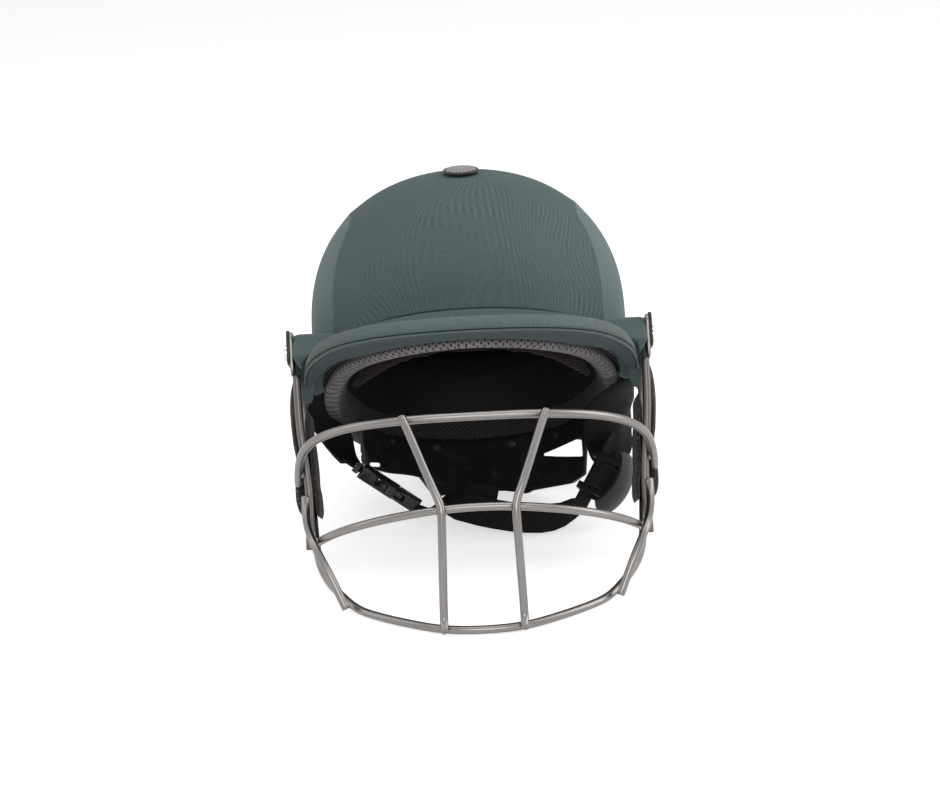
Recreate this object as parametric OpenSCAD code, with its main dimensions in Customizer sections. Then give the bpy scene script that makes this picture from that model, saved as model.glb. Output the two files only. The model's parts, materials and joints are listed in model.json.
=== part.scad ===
/* [Shell] */
// Half width of the dome, outside the cloth
dome_half_w = 108.5; // [102:0.5:114]
// Half length of the dome, outside the cloth
dome_half_l = 122.5; // [116:0.5:128]
// Height of the crown above the widest line of the dome
dome_rise = 104.5; // [98:0.5:110]
// Height of the widest line above the peak line
dome_mid_z = 20; // [16:0.5:24]
// Distance of the dome's middle behind the worn origin
dome_mid_y = 2.5; // [0:0.5:5]
// Fullness of the dome's profile: 2 is an ellipse, more is squarer
dome_full = 2.25; // [2:0.05:2.5]
// How slowly the skirt below the widest line draws in
skirt_depth = 230; // [210:5:260]
// Thickness of the moulded shell
shell_t = 3.4; // [2.6:0.1:4]
// Height of the shell's edge at the brow
brow_z = -4; // [-7:0.5:-2]
// Height of the shell's edge below the temple screws
temple_z = -27; // [-30:0.5:-24]
// Height of the shell's edge over the ear
ear_z = -42; // [-46:0.5:-38]
// Height of the shell's edge at the nape
nape_z = -56; // [-60:0.5:-50]

/* [Cloth cover] */
// Thickness of the cloth on the dome
cloth_t = 1.1; // [0.8:0.1:1.6]
// Angle from the front at which the panel seams run down
seam_angle = 54.5; // [50:0.5:58]
// Latitude at which the seams turn over the dome
seam_corner = 30; // [24:1:36]
// Extra latitude of the seam's arch above its corner
seam_arch = 17; // [12:1:22]
// Diameter of the button on the crown
button_d = 24; // [20:0.5:28]
// Height of the button above the cloth
button_h = 3.8; // [3:0.2:6]

/* [Peak] */
// Half width of the peak at its corners
peak_half_w = 112.5; // [110:0.5:114]
// Reach of the peak in front of its corners
peak_reach = 101; // [96:0.5:108]
// Distance of the peak's corners in front of the worn origin
peak_root_y = 62; // [58:0.5:66]
// Height of the peak's top edge at the middle
peak_top_z = 1.5; // [0:0.5:3]
// Drop of the peak's edge from the middle to its corners
peak_drop = 30; // [26:0.5:32]
// Height of the rolled edge band
peak_band_h = 9.5; // [8:0.5:11]
// Thickness of the stiff board in the peak
peak_board_t = 3; // [2:0.1:3.5]

/* [Lining] */
// Thickness of the foam liner
liner_t = 11; // [9:0.5:13]
// Radial thickness of the mesh band round the rim
band_t = 13; // [11:0.5:15]
// Height of the mesh band
band_h = 27; // [24:0.5:30]
// How far the mesh band hangs below the shell's edge
band_drop = 6; // [4:0.5:7]
// Thickness of the forehead pad
forehead_t = 8; // [6:0.5:10]
// Thickness of the pads on the liner
pad_t = 6; // [4:0.5:8]
// Thickness of the satin ear flaps
flap_t = 3; // [2:0.2:3.6]

/* [Temple flare] */
// Distance of the flare's flat side face from the middle
flare_x = 115.4; // [114.8:0.1:116.5]
// Height of the flare's flat top
flare_top_z = 9.5; // [8:0.5:11]
// Height at which the flare's side face starts to slope in
flare_knee_z = -8; // [-10:0.5:-6]
// Front end of the flare, in front of the worn origin
flare_front_y = 92; // [90:0.5:96]
// Rear end of the flare, in front of the worn origin
flare_rear_y = 24; // [20:0.5:26]

/* [Grille] */
// Diameter of the top bar
top_bar_d = 5.6; // [5:0.1:6.2]
// Diameter of the other wires
wire_d = 5.2; // [4.4:0.1:5.4]
// Reach of the top bar in front of the worn origin
top_bar_reach = 160; // [154:0.5:166]
// Height of the top bar's front
top_bar_z = -59.5; // [-63:0.5:-57]
// Reach of the middle bar in front of the worn origin
mid_bar_reach = 167; // [161:0.5:173]
// Height of the middle bar's front
mid_bar_z = -115.5; // [-120:0.5:-111]
// Reach of the bottom bar in front of the worn origin
bottom_bar_reach = 150; // [146:0.5:154]
// Height of the bottom bar's front
bottom_bar_z = -190; // [-196:0.5:-186]
// Half distance between the centre wires at the top bar
center_top_x = 43.5; // [40:0.5:47]
// Half distance between the centre wires at the middle bar
center_mid_x = 22.8; // [20:0.5:26]
// Half distance between the centre wires at the bottom bar
center_low_x = 24.6; // [22:0.5:28]
// Thickness of the steel mount plates
plate_t = 1.6; // [1.2:0.1:2]
// Thickness of the dark clamp plates
clamp_t = 1.8; // [1.4:0.1:2.4]
// Diameter of the temple screws
screw_d = 5; // [4:0.1:5.6]
// Diameter of the temple screws' domed heads
screw_head_d = 11; // [9:0.5:12]
// Distance of the pivot screw in front of the worn origin
pivot_y = 50; // [48:0.5:52]
// Height of the pivot screw
pivot_z = 1.5; // [0:0.5:3]
// Distance between the pivot screw and the adjusting screw
screw_pitch = 24.5; // [22:0.5:26]
// Angle that the grille can tilt each way
tilt_range = 5; // [3:0.5:5.5]
// Thickness of the inner side strips
strip_t = 2.4; // [1.6:0.2:3]
// Thickness of the outer side pads at their fullest
side_pad_t = 5.6; // [4:0.2:6.5]

/* [Chin strap] */
// Width of the webbing
strap_w = 20; // [16:0.5:22]
// Thickness of the webbing
strap_t = 1.8; // [1.4:0.1:2.2]
// Length of the buckle, from strap to strap
buckle_l = 46; // [44:0.5:50]
// Width of the buckle socket
buckle_w = 27; // [26:0.5:28]
// Thickness of the buckle socket
buckle_t = 9; // [8:0.5:10]
// Length of the chin cup
cup_l = 44; // [40:1:46]
// Width of the chin cup
cup_w = 26; // [26:0.5:28]

/* [Rest] */
// Angle at which the helmet leans back on its grille and nape cradle
lean = 24; // [23:0.5:25]

/* [Hidden] */
$fn = 48;

// Running clearance of a pin or a screw, on the radius
pin_gap = 0.05;
// Gap between layers that lie on each other
layer_gap = 0.7;
// Gap between the pads and the flat faces of the liner
pad_gap = 1.2;
// Gap between a wire and what it is welded or laid against
weld_gap = 0.05;
// Steps round the dome and down it
dome_steps = 36;
drop_steps = 10;
// Sides of a wire
wire_sides = 8;

shell_in = cloth_t + layer_gap;
liner_in = shell_in + shell_t + layer_gap;
pad_in = liner_in + liner_t + pad_gap;
band_in = liner_in;
forehead_in = band_in + band_t + layer_gap;

wire_r = wire_d / 2;
top_r = top_bar_d / 2;
// Distances between the middles of two wires that are laid on each other and welded
top_weld = top_r + wire_r + weld_gap;
wire_weld = wire_d + weld_gap;
plate_x = flare_x + 0.2;
clamp_x = plate_x + plate_t + 0.2;
head_x = clamp_x + clamp_t;
// The adjusting screw stands in front of the pivot screw and a little below it
adjust_angle = 12;
adjust_y = pivot_y + screw_pitch * cos(adjust_angle);
adjust_z = pivot_z - screw_pitch * sin(adjust_angle);

// Lift and shift that stand the leaning helmet on the floor, centred on its length
floor_gap = 0.12;
lift = wire_r + floor_gap - (bottom_bar_reach * sin(lean) + bottom_bar_z * cos(lean));
rear_power = dome_full / (dome_full - 1);
rear_reach = dome_mid_y * cos(lean) + dome_mid_z * sin(lean)
    + pow(pow(dome_half_l * cos(lean), rear_power) + pow(dome_rise * sin(lean), rear_power), 1 / rear_power);
// The centre wire's lower end stands this far behind the bottom bar's front, before its own thickness
center_set_back = 2.8;
front_reach = (bottom_bar_reach + wire_weld - center_set_back) * cos(lean) - bottom_bar_z * sin(lean)
    + wire_r * 0.7;
shift = (front_reach - rear_reach) / 2;

// Vector and curve helpers
function unit(v) = v / norm(v);
function mix(a, b, t) = a + (b - a) * t;
function flipped(p) = [for (i = [len(p) - 1:-1:0]) [-p[i][0], p[i][1], p[i][2]]];
function whole(half) = concat(flipped(half), [for (i = [1:len(half) - 1]) half[i]]);
function at(p, i) = p[max(0, min(len(p) - 1, i))];
function bend(a, b, c, d, t) = 0.5 * (2 * b + (c - a) * t + (2 * a - 5 * b + 4 * c - d) * t * t
    + (3 * b - a - 3 * c + d) * t * t * t);
// Smooth curve through the points, with n steps between two of them
function smooth(p, n = 3) = concat([for (i = [0:len(p) - 2], k = [0:n - 1])
    bend(at(p, i - 1), p[i], p[i + 1], at(p, i + 2), k / n)], [p[len(p) - 1]]);
function tangents(p) = [for (i = [0:len(p) - 1]) unit(at(p, i + 1) - at(p, i - 1))];
function sides_of(t, u, i = 0) = i == len(t) ? []
    : let (w = unit(u - (u * t[i]) * t[i])) concat([w], sides_of(t, w, i + 1));

// Faces of a strip between two rows of point numbers
function strip(a, b) = [for (i = [0:len(a) - 2]) each [[a[i], a[i + 1], b[i + 1]], [a[i], b[i + 1], b[i]]]];
function row(s, n, ring) = [for (i = [0:(ring ? n : n - 1)]) s + i % n];
function column(s, rows, cols, c) = [for (r = [0:rows - 1]) s + r * cols + c];

// Closed wall between an outer and an inner grid of points, rows from the top down
module wall(outer, inner, ring = false, lid = false) {
    rows = len(outer);
    cols = len(outer[0]);
    n = rows * cols;
    faces = concat(
        [for (r = [0:rows - 2]) each strip(row(r * cols, cols, ring), row((r + 1) * cols, cols, ring))],
        [for (r = [0:rows - 2]) each strip(row(n + (r + 1) * cols, cols, ring),
            row(n + r * cols, cols, ring))],
        strip(row((rows - 1) * cols, cols, ring), row(n + (rows - 1) * cols, cols, ring)),
        lid ? [[for (i = [cols - 1:-1:0]) i], [for (i = [0:cols - 1]) n + i]]
            : strip(row(n, cols, ring), row(0, cols, ring)),
        ring ? [] : concat(
            strip(column(0, rows, cols, 0), column(n, rows, cols, 0)),
            strip(column(n, rows, cols, cols - 1), column(0, rows, cols, cols - 1))));
    polyhedron(concat([for (r = outer) each r], [for (r = inner) each r]), faces, convexity = 6);
}

// Solid through closed rings of points, with flat ends
module loft(rings, ring = false) {
    m = len(rings);
    k = len(rings[0]);
    bands = [for (r = [0:(ring ? m - 1 : m - 2)]) each strip(row(((r + 1) % m) * k, k, true),
        row(r * k, k, true))];
    ends = ring ? [] : concat([for (i = [1:k - 2]) [0, i, i + 1]],
        [for (i = [1:k - 2]) [(m - 1) * k, (m - 1) * k + i + 1, (m - 1) * k + i]]);
    polyhedron([for (r = rings) each r], concat(bands, ends), convexity = 8);
}

// Round wire along a path
module wire(path, r, sides = wire_sides, up = [0, 0, 1]) {
    t = tangents(path);
    u = sides_of(t, up);
    loft([for (i = [0:len(path) - 1]) [for (k = [0:sides - 1])
        path[i] + r * (cos(360 * k / sides) * u[i] + sin(360 * k / sides) * cross(t[i], u[i]))]]);
}

// Flat webbing along a path, whose width lies along the given directions
module webbing(path, across, w, t) {
    d = tangents(path);
    loft([for (i = [0:len(path) - 1]) let (
        s = unit(across[i] - (across[i] * d[i]) * d[i]) * w / 2,
        n = cross(d[i], unit(s)) * t / 2)
        [path[i] - s - n, path[i] + s - n, path[i] + s + n, path[i] - s + n]]);
}

module both_sides() {
    children();
    mirror([1, 0, 0]) children();
}

// Sets a piece that is drawn upright, as worn, into the leaning rest position
module worn() {
    translate([0, shift, lift]) rotate([-lean, 0, 0]) children();
}

// The dome
// A point on the dome: angle from the front, latitude above the widest line, depth below the outside
function dome(a, f, in = 0) = let (k = f >= 0 ? pow(cos(f), 2 / dome_full) : cos(f)) [
    (dome_half_w - in) * k * sin(a),
    dome_mid_y - (dome_half_l - in) * k * cos(a),
    dome_mid_z + (f >= 0 ? (dome_rise - in) * pow(sin(f), 2 / dome_full) : skirt_depth * sin(f))];
// Latitude of a height on the dome
function lat(z, in = 0) = z >= dome_mid_z ? asin(pow((z - dome_mid_z) / (dome_rise - in), dome_full / 2))
    : -asin((dome_mid_z - z) / skirt_depth);
function folded(a) = abs(((a + 540) % 360) - 180);
// Height of the shell's edge at an angle from the front
function rim_z(a) = lookup(folded(a), [[0, brow_z - 1], [20, brow_z - 2], [44, brow_z - 4.7],
    [55, brow_z - 6.6], [65, brow_z - 10.2], [75, mix(brow_z, temple_z, 0.7)], [86, temple_z - 3],
    [104, ear_z + 2.5], [112, ear_z - 2], [130, mix(ear_z, nape_z, 0.75)], [180, nape_z]]);
// Ring of points round the dome whose height is set at each angle
function edge_ring(in, lift_z) = [for (i = [0:dome_steps - 1]) let (a = i * 360 / dome_steps)
    dome(a, lat(rim_z(a) + lift_z, in), in)];
function dome_grid(in, lift_z, top = 84) = [for (r = [0:drop_steps])
    [for (i = [0:dome_steps - 1]) let (a = i * 360 / dome_steps)
        dome(a, mix(top, lat(rim_z(a) + lift_z, in), r / drop_steps), in)]];
// Part of the dome's wall between two angles and two heights, given as functions of the angle
function patch(a0, a1, steps, tops, bottoms, in, rows) = [for (r = [0:rows])
    [for (i = [0:steps]) let (a = mix(a0, a1, i / steps))
        dome(a, mix(lat(tops[i], in), lat(bottoms[i], in), r / rows), in)]];

// Seams of the cover: up a meridian, over in an arch, down behind
function seam_side(a) = let (x = (a - 90) / (90 - seam_angle)) sqrt(max(0, 1 - x * x));
function seam_lat(a) = seam_corner + seam_arch * seam_side(a);
rise_steps = 5;
arch_steps = 12;
across_steps = 12;
// Angles and latitudes of the points across the top panel, level with a point of its seam
function level_row(a, f) = let (
    p = [cos(f) * sin(a), -cos(f) * cos(a), sin(f)], q = atan2(p[1], p[2]))
    [for (i = [0:across_steps]) let (x = mix(-p[0], p[0], i / across_steps), k = sqrt(1 - x * x))
        [atan2(x, -k * sin(q)), asin(k * cos(q))]];
// Height at which the peak meets the dome
function junction_z(a) = peak_root_z(min(peak_turn_end, abs(a) / root_turn));
// The top panel, from the peak over the crown to the nape
function center_grid(in) = concat(
    [for (k = [rise_steps:-1:1]) [for (q = level_row(180 - seam_angle, seam_corner))
        dome(q[0], mix(q[1], lat(rim_z(q[0])), k / rise_steps), in)]],
    [for (k = [arch_steps:-1:0]) let (a = 90 - (90 - seam_angle) * cos(180 * k / arch_steps))
        [for (q = level_row(a, seam_lat(a))) dome(q[0], q[1], in)]],
    [for (k = [1:rise_steps]) [for (q = level_row(seam_angle, seam_corner))
        dome(q[0], mix(q[1], lat(junction_z(q[0]) - 4), k / rise_steps), in)]]);

module outer_shell() {
    color("dimgray") worn() wall(dome_grid(shell_in, 0), dome_grid(shell_in + shell_t, 0),
        ring = true, lid = true);
}

module cover_center_panel() {
    color([0.28, 0.36, 0.36]) worn()
        wall(center_grid(0), center_grid(cloth_t));
}

// Side panel between the seam and the shell's edge
function side_grid(in) = [for (r = [0:8]) [for (k = [0:arch_steps]) let (
    c = 180 * k / arch_steps, a = 90 - (90 - seam_angle - 0.5) * cos(c))
    dome(a, mix(seam_lat(a) - 0.8, lat(rim_z(a)), r / 8), in)]];
module cover_side_panel() {
    wall(side_grid(0), side_grid(cloth_t));
}
module cover_left_panel() {
    color([0.36, 0.45, 0.44]) worn() mirror([1, 0, 0]) cover_side_panel();
}
module cover_right_panel() {
    color([0.36, 0.45, 0.44]) worn() cover_side_panel();
}

// The temple flares that carry the grille
flare_front = [[dome_half_w * 0.6, flare_top_z], [flare_x - 2, flare_top_z], [flare_x, flare_top_z - 2],
    [flare_x, flare_knee_z], [flare_x - 5.5, flare_knee_z - 9], [peak_half_w - 2, temple_z - 1],
    [dome_half_w * 0.6, temple_z - 1]];
module flare() {
    difference() {
        intersection() {
            translate([0, -flare_rear_y, 0]) rotate([90, 0, 0])
                linear_extrude(flare_front_y - flare_rear_y) polygon(flare_front);
            translate([dome_half_w / 2, 0, 0]) rotate([90, 0, 90]) linear_extrude(dome_half_w)
                polygon([[-flare_rear_y, flare_top_z - 6], [-flare_rear_y - 6, flare_top_z],
                    [-adjust_y + 8, flare_top_z], [-adjust_y - 4, flare_top_z - 3],
                    [-flare_front_y, flare_knee_z], [-flare_front_y + 10, temple_z - 1],
                    [-flare_rear_y - 8, temple_z - 1], [-flare_rear_y, flare_knee_z - 8]]);
        }
        loft([for (i = [0:peak_steps]) peak_section(peak_turn(i), -0.4, -0.4, 60, 60)]);
        loft([for (i = [0:peak_steps]) let (p = peak_turn(i), s = peak_section(p, -0.4, -0.4, 60, 60),
            r = dome(p * root_turn, lat(peak_root_z(p)), 14))
            [[r[0], r[1], s[0][2]], s[1], s[2], s[3], s[4], [r[0], r[1], s[5][2]]]]);
        wall(flare_cutter(-layer_gap), flare_cutter(50));
        temple_holes(screw_d / 2 + pin_gap, flare_x - nut_depth, 40);
        temple_holes(nut_r + 0.1, flare_x - nut_depth - nut_t - 0.4, nut_t + 0.4);
    }
}
nut_depth = 10;
nut_t = 4;
nut_r = 4.6;
function flare_cutter(in) = patch(20, 100, 10, [for (i = [0:10]) flare_top_z + 20],
    [for (i = [0:10]) temple_z - 12], in, 5);
module temple_holes(r, x, len) {
    for (p = [[pivot_y, pivot_z], [adjust_y, adjust_z]])
        translate([x, -p[0], p[1]]) rotate([0, 90, 0]) cylinder(r = r, h = len);
}
module temple_flare_left() {
    color([0.33, 0.42, 0.41]) worn() mirror([1, 0, 0]) flare();
}
module temple_flare_right() {
    color([0.33, 0.42, 0.41]) worn() flare();
}

// The peak, lofted from corner to corner
peak_steps = 20;
peak_turn_end = 84.5;
root_turn = 0.8;
function peak_turn(i) = mix(-peak_turn_end, peak_turn_end, i / peak_steps);
function peak_edge_z(p) = peak_top_z - peak_drop * pow(1 - cos(p), 2.6);
// A point of the peak: turn round it, distance in from the edge, height below the edge's top
function peak_rim(p, in) = [(peak_half_w - in) * sin(p), -peak_root_y - (peak_reach - in) * cos(p)];
function peak_root_z(p) = peak_edge_z(p) + 11 * cos(p);
function peak_root(p) = dome(p * root_turn, lat(peak_root_z(p)), -0.5);
// Section of the peak from the dome to a distance inside the edge, between two depths below the top
function peak_section(p, edge_in, top, root_low, edge_low) = let (
    e = peak_rim(p, edge_in), ze = peak_edge_z(p), r = peak_root(p),
    m = mix([r[0], r[1]], e, 0.55), zm = mix(r[2], ze, 0.55) + 2.5 * cos(p))
    [[r[0], r[1], r[2] - top], [m[0], m[1], zm - top], [e[0], e[1], ze - top], [e[0], e[1], ze - edge_low],
        [m[0], m[1], zm - mix(root_low, edge_low, 0.55)], [r[0], r[1], r[2] - root_low]];
module peak_loft(edge_in, top, root_low, edge_low) {
    loft([for (i = [0:peak_steps]) let (p = peak_turn(i))
        peak_section(p, edge_in, top, max(top + 1, root_low * (1 - pow(p / 88, 4))), edge_low)]);
}
peak_skin = 1;
band_depth = 4.2;
module peak_cover() {
    color([0.30, 0.38, 0.38]) worn() peak_loft(band_depth + 0.3, 0, peak_skin, peak_skin);
}
module peak_board() {
    color("gainsboro") worn() peak_loft(band_depth + 0.5, peak_skin + 0.2, peak_skin + peak_board_t,
        peak_skin + peak_board_t);
}
module peak_underside() {
    color([0.22, 0.28, 0.29]) worn()
        peak_loft(band_depth + 0.3, peak_skin + peak_board_t + 0.3, 20, peak_band_h - 1);
}
// Rolled band along the peak's edge
module peak_edge_band() {
    profile = [for (k = [0:7]) let (a = 22.5 + 45 * k)
        [band_depth / 2 * (1 + cos(a) / cos(22.5)), peak_band_h / 2 * (sin(a) / cos(22.5) - 1) + 0.6]];
    color([0.42, 0.46, 0.47]) worn()
        loft([for (i = [0:peak_steps]) let (p = peak_turn(i)) [for (q = profile) let (
            e = peak_rim(p, q[0])) [e[0], e[1], peak_edge_z(p) + q[1]]]]);
}

// The button, a little in front of the crown
button_lean = 24;
button_lat = atan(1 / pow(tan(button_lean) * dome_half_l / dome_rise, dome_full / (2 * dome_full - 2)));
module on_crown() {
    p = dome(0, button_lat);
    worn() translate(p) rotate([button_lean, 0, 0]) children();
}
button_rim_h = 2.3;
module button_base() {
    color("black") on_crown() rotate_extrude()
        polygon([[0, 0.1], [button_d / 2 - 0.8, 0.1], [button_d / 2, 0.9],
            [button_d / 2 - 0.1, button_rim_h - 0.6], [button_d / 2 - 0.9, button_rim_h],
            [button_d / 2 - 1.7, button_rim_h - 0.3], [button_d / 2 - 1.9, 1.2], [0, 1.2]]);
}
module button_cap() {
    color("slategray") on_crown() translate([0, 0, 1.3]) rotate_extrude()
        polygon([[0, 0], [button_d / 2 - 2.1, 0], [button_d / 2 - 2.1, button_rim_h - 1.2],
            [button_d / 3, button_h - 1.8], [button_d / 6, button_h - 1.4], [0, button_h - 1.3]]);
}

// The lining
module foam_liner() {
    color([0.10, 0.10, 0.11]) worn()
        wall(dome_grid(liner_in, band_h - band_drop + 1),
            dome_grid(liner_in + liner_t, band_h - band_drop + 1), ring = true, lid = true);
}
// Band of spacer mesh round the rim, with a lip that covers the shell's edge from below
band_wrap = 2;
module rim_band() {
    color([0.45, 0.43, 0.43]) worn() wall(
        [for (q = [[1.5, band_h], [0, band_h - 1.5], [0, band_drop - 1], [-band_wrap, band_drop - 1.6],
            [-band_wrap, 2.4], [1 - band_wrap, 0.5]]) edge_ring(band_in + q[0], q[1] - band_drop)],
        [for (q = [[band_t - 1.5, band_h], [band_t, band_h - 1.5], [band_t, band_h / 2], [band_t, 8],
            [band_t, 4], [band_t - 3, 0.5]]) edge_ring(band_in + q[0], q[1] - band_drop)], ring = true);
}
// Padded patch on the inside of the liner: rounded ends, crowned face
module inner_pad(a0, a1, steps, top, bottom, in, t, ends = 0.25) {
    s = [for (i = [0:steps]) let (x = 2 * i / steps - 1) sqrt(max(0.02, 1 - pow(abs(x), 2 / ends)))];
    mid = [for (i = [0:steps]) (top[i] + bottom[i]) / 2];
    hi = [for (i = [0:steps]) mix(mid[i], top[i], s[i])];
    lo = [for (i = [0:steps]) mix(mid[i], bottom[i], s[i])];
    rows = 6;
    wall([for (r = [0:rows]) [for (i = [0:steps]) let (a = mix(a0, a1, i / steps))
            dome(a, mix(lat(hi[i]), lat(lo[i]), r / rows), in)]],
        [for (r = [0:rows]) [for (i = [0:steps]) let (a = mix(a0, a1, i / steps), v = 2 * r / rows - 1,
            puff = sqrt(max(0.03, 1 - pow(abs(v), 4))) * sqrt(max(0.03, s[i])))
            dome(a, mix(lat(hi[i]), lat(lo[i]), r / rows), in + t * puff)]]);
}
module forehead_pad() {
    n = 16;
    color([0.17, 0.13, 0.12]) worn() inner_pad(-70, 70, n,
        [for (i = [0:n]) let (x = 2 * i / n - 1) 10 - 26 * x * x],
        [for (i = [0:n]) let (x = 2 * i / n - 1) brow_z - 9 - 22 * x * x], forehead_in, forehead_t);
}
module crown_pad() {
    rings = [for (f = [86, 78, 70, 62]) f];
    color([0.16, 0.16, 0.17]) worn() wall(
        [for (f = rings) [for (i = [0:17]) dome(i * 20, f, pad_in)]],
        [for (f = rings) [for (i = [0:17]) dome(i * 20, f, pad_in + pad_t * (f > 62 ? 1 : 0.4))]],
        ring = true, lid = true);
}
module rear_pad() {
    n = 10;
    color([0.20, 0.19, 0.20]) worn() inner_pad(140, 220, n, [for (i = [0:n]) 16],
        [for (i = [0:n]) -9], pad_in, pad_t, 0.6);
}
rib_w = 5;
rib_t = 2;
rib_angles = [109, 156, 198, 225];
module liner_ribs() {
    color([0.13, 0.13, 0.14]) worn() for (a = rib_angles) let (
        h = rib_w / dome_half_l * 28.6,
        top = [44, 44, 44], low = [18, 18, 18])
        wall(patch(a - h, a + h, 2, top, low, pad_in, 4),
            patch(a - h, a + h, 2, top, low, pad_in + rib_t, 4));
}
// Nape cradle, hung inside the rim and cut level where it stands on the floor
cradle_t = 3;
cradle_root = band_in + band_t + layer_gap;
cradle_turn = 70;
// Height of its lower edge, which hangs lower on the right as the helmet stands
function cradle_low(turn) = lookup(turn, [[-70, -86], [-64, -91], [-47, -92], [-30, -94], [-24, -104],
    [-10, -104], [-6, -90], [0, -88], [6, -90], [10, -104], [24, -104], [30, -84], [36, -78], [48, -77],
    [58, -76], [70, -70]]);
cradle_lean = 21;
function cradle_spot(a, t, in) = let (d = abs(a - 180))
    dome(a, lat(mix(rim_z(a) + 4, cradle_low(a - 180), t)),
        in + cradle_root + cradle_lean * pow(t, 1.3) * (1 - d / 60));
function cradle_grid(in) = [for (r = [0:6]) [for (i = [0:16])
    cradle_spot(mix(180 - cradle_turn, 180 + cradle_turn, i / 16), r / 6, in)]];
cradle_slots = [[-76, -63.4], [-76, -69.4], [-61, -70.6], [78, -79]];
cradle_gap = [[46, -68], [72, -60], [75, -61], [75, -73]];
module nape_cradle() {
    color([0.09, 0.09, 0.10]) difference() {
        worn() wall(cradle_grid(0), cradle_grid(cradle_t));
        translate([-dome_half_w, -dome_half_l, -60]) cube([2 * dome_half_w, 3 * dome_half_l, 60]);
        worn() for (s = cradle_slots) translate([s[0], 0, s[1]]) rotate([-90, 0, -12 * sign(s[0])])
            linear_extrude(140) hull() for (x = [-2.6, 2.6]) translate([x, 0]) circle(r = 1.5);
        worn() mirror([0, 1, 0]) rotate([90, 0, 0]) linear_extrude(140) offset(r = 1) offset(r = -1)
            polygon(cradle_gap);
    }
}
module cradle_rivets() {
    color("dimgray") worn() difference() {
        for (a = [134, 160, 200, 226]) translate(cradle_spot(a, 0.12, cradle_t - 0.8)) rotate([0, 0, a])
            rotate([-90, 0, 0]) cylinder(d1 = 7, d2 = 5.4, h = 2.4);
        wall(cradle_grid(-5), cradle_grid(cradle_t + weld_gap));
    }
}

// Straps, buckle and chin cup, which hang free and are set out at rest
buckle_at = [-59.5, -35, 31.5];
buckle_yaw = -14.7;
buckle_pitch = 33;
buckle_roll = -20;
function turn_x(v, a) = [v[0], v[1] * cos(a) - v[2] * sin(a), v[1] * sin(a) + v[2] * cos(a)];
function turn_y(v, a) = [v[0] * cos(a) + v[2] * sin(a), v[1], v[2] * cos(a) - v[0] * sin(a)];
function turn_z(v, a) = [v[0] * cos(a) - v[1] * sin(a), v[0] * sin(a) + v[1] * cos(a), v[2]];
function in_buckle(v) = turn_z(turn_y(turn_x(v, buckle_roll), buckle_pitch), buckle_yaw);
function buckle_point(v) = buckle_at + in_buckle(v);
module set_out() {
    translate([0, shift, 0]) children();
}
module at_buckle() {
    set_out() translate(buckle_at) rotate([0, 0, buckle_yaw]) rotate([0, buckle_pitch, 0])
        rotate([buckle_roll, 0, 0]) children();
}
buckle_across = in_buckle([0, 1, 0]);
buckle_up = in_buckle([0, 0, 1]);
half_l = buckle_l / 2;
half_w = buckle_w / 2;
strap_end = half_l - 3.4;
loop_gap = 0.6;

// The chin cup's place on the straight run of the strap, with the strap's width and the cup's hollow
cup_at = [81, -39, 35];
cup_dir = unit([0.507, 0.405, 0.76]);
cup_face = let (v = [0.85, -0.5, -0.1]) unit(v - (v * cup_dir) * cup_dir);
cup_across = cross(cup_dir, cup_face);
cup_travel = 6;
bridge_z = 12;
bridge_w = 5;
strap_run = bridge_z + bridge_w / 2 + cup_travel + 1.5;
flap_at = cup_l / 2 + cup_travel + 3;
function cup_point(t) = cup_at + t * cup_dir;
chin_path = concat(
    [buckle_point([strap_end, 0, 0]), buckle_point([half_l, 0, 0]), buckle_point([half_l + 6, 0, 0])],
    smooth([[-23, -45, 23], [0, -51, 18], [22, -55, 14], [42, -57, 12.5], [57, -54.5, 13.5],
        cup_point(-strap_run)], 2),
    [cup_point(strap_run), cup_point(flap_at - 3), cup_point(flap_at)]);
hang_across = unit([0.1, 0.35, 1]);
chin_across = [for (i = [0:len(chin_path) - 1]) let (k = len(chin_path) - 1 - i)
    i < 3 ? buckle_across : i < 5 ? unit(mix(buckle_across, hang_across, (i - 2) / 3))
    : k < 4 ? -cup_across : k < 8 ? unit(mix(-cup_across, hang_across, (k - 3) / 5)) : hang_across];
module chin_strap() {
    color([0.10, 0.10, 0.11]) set_out() webbing(chin_path, chin_across, strap_w, strap_t);
}
// The strap's free end, folded back at the buckle, lies behind it and a little higher
tail_rise = 8;
tail_back = 6.2;
module strap_tail() {
    d = tangents(chin_path);
    spots = [4:6];
    color([0.10, 0.10, 0.11]) set_out() webbing([for (i = spots) let (s = unit(chin_across[i]))
        chin_path[i] + s * tail_rise - unit(cross(d[i], s)) * tail_back],
        [for (i = spots) chin_across[i]], strap_w, strap_t);
}
keeper_x = -half_l - 3.2;
flap_x = -half_l - 6.5;
module ear_strap_left() {
    color([0.10, 0.10, 0.11]) set_out() webbing([buckle_point([-strap_end, 0, 0]),
        buckle_point([flap_x - 8, 0, 0])], [buckle_across, buckle_across], strap_w, strap_t);
}
module strap_keeper() {
    color([0.35, 0.35, 0.36]) at_buckle() translate([keeper_x, 0, 0]) difference() {
        cube([4, strap_w + 5, strap_t + 4], center = true);
        cube([5, strap_w + 2 * loop_gap, strap_t + 2 * loop_gap], center = true);
    }
}

// Satin ear flaps: wide under the shell's edge, drawn in to the width of the strap at their lower end
function to_rest(p) = [p[0], p[1] * cos(lean) + p[2] * sin(lean),
    p[2] * cos(lean) - p[1] * sin(lean) + lift];
flap_front_a = 70;
flap_rear_a = 104;
// How far their front corners stand out under the temples
flap_flare = 6;
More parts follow.
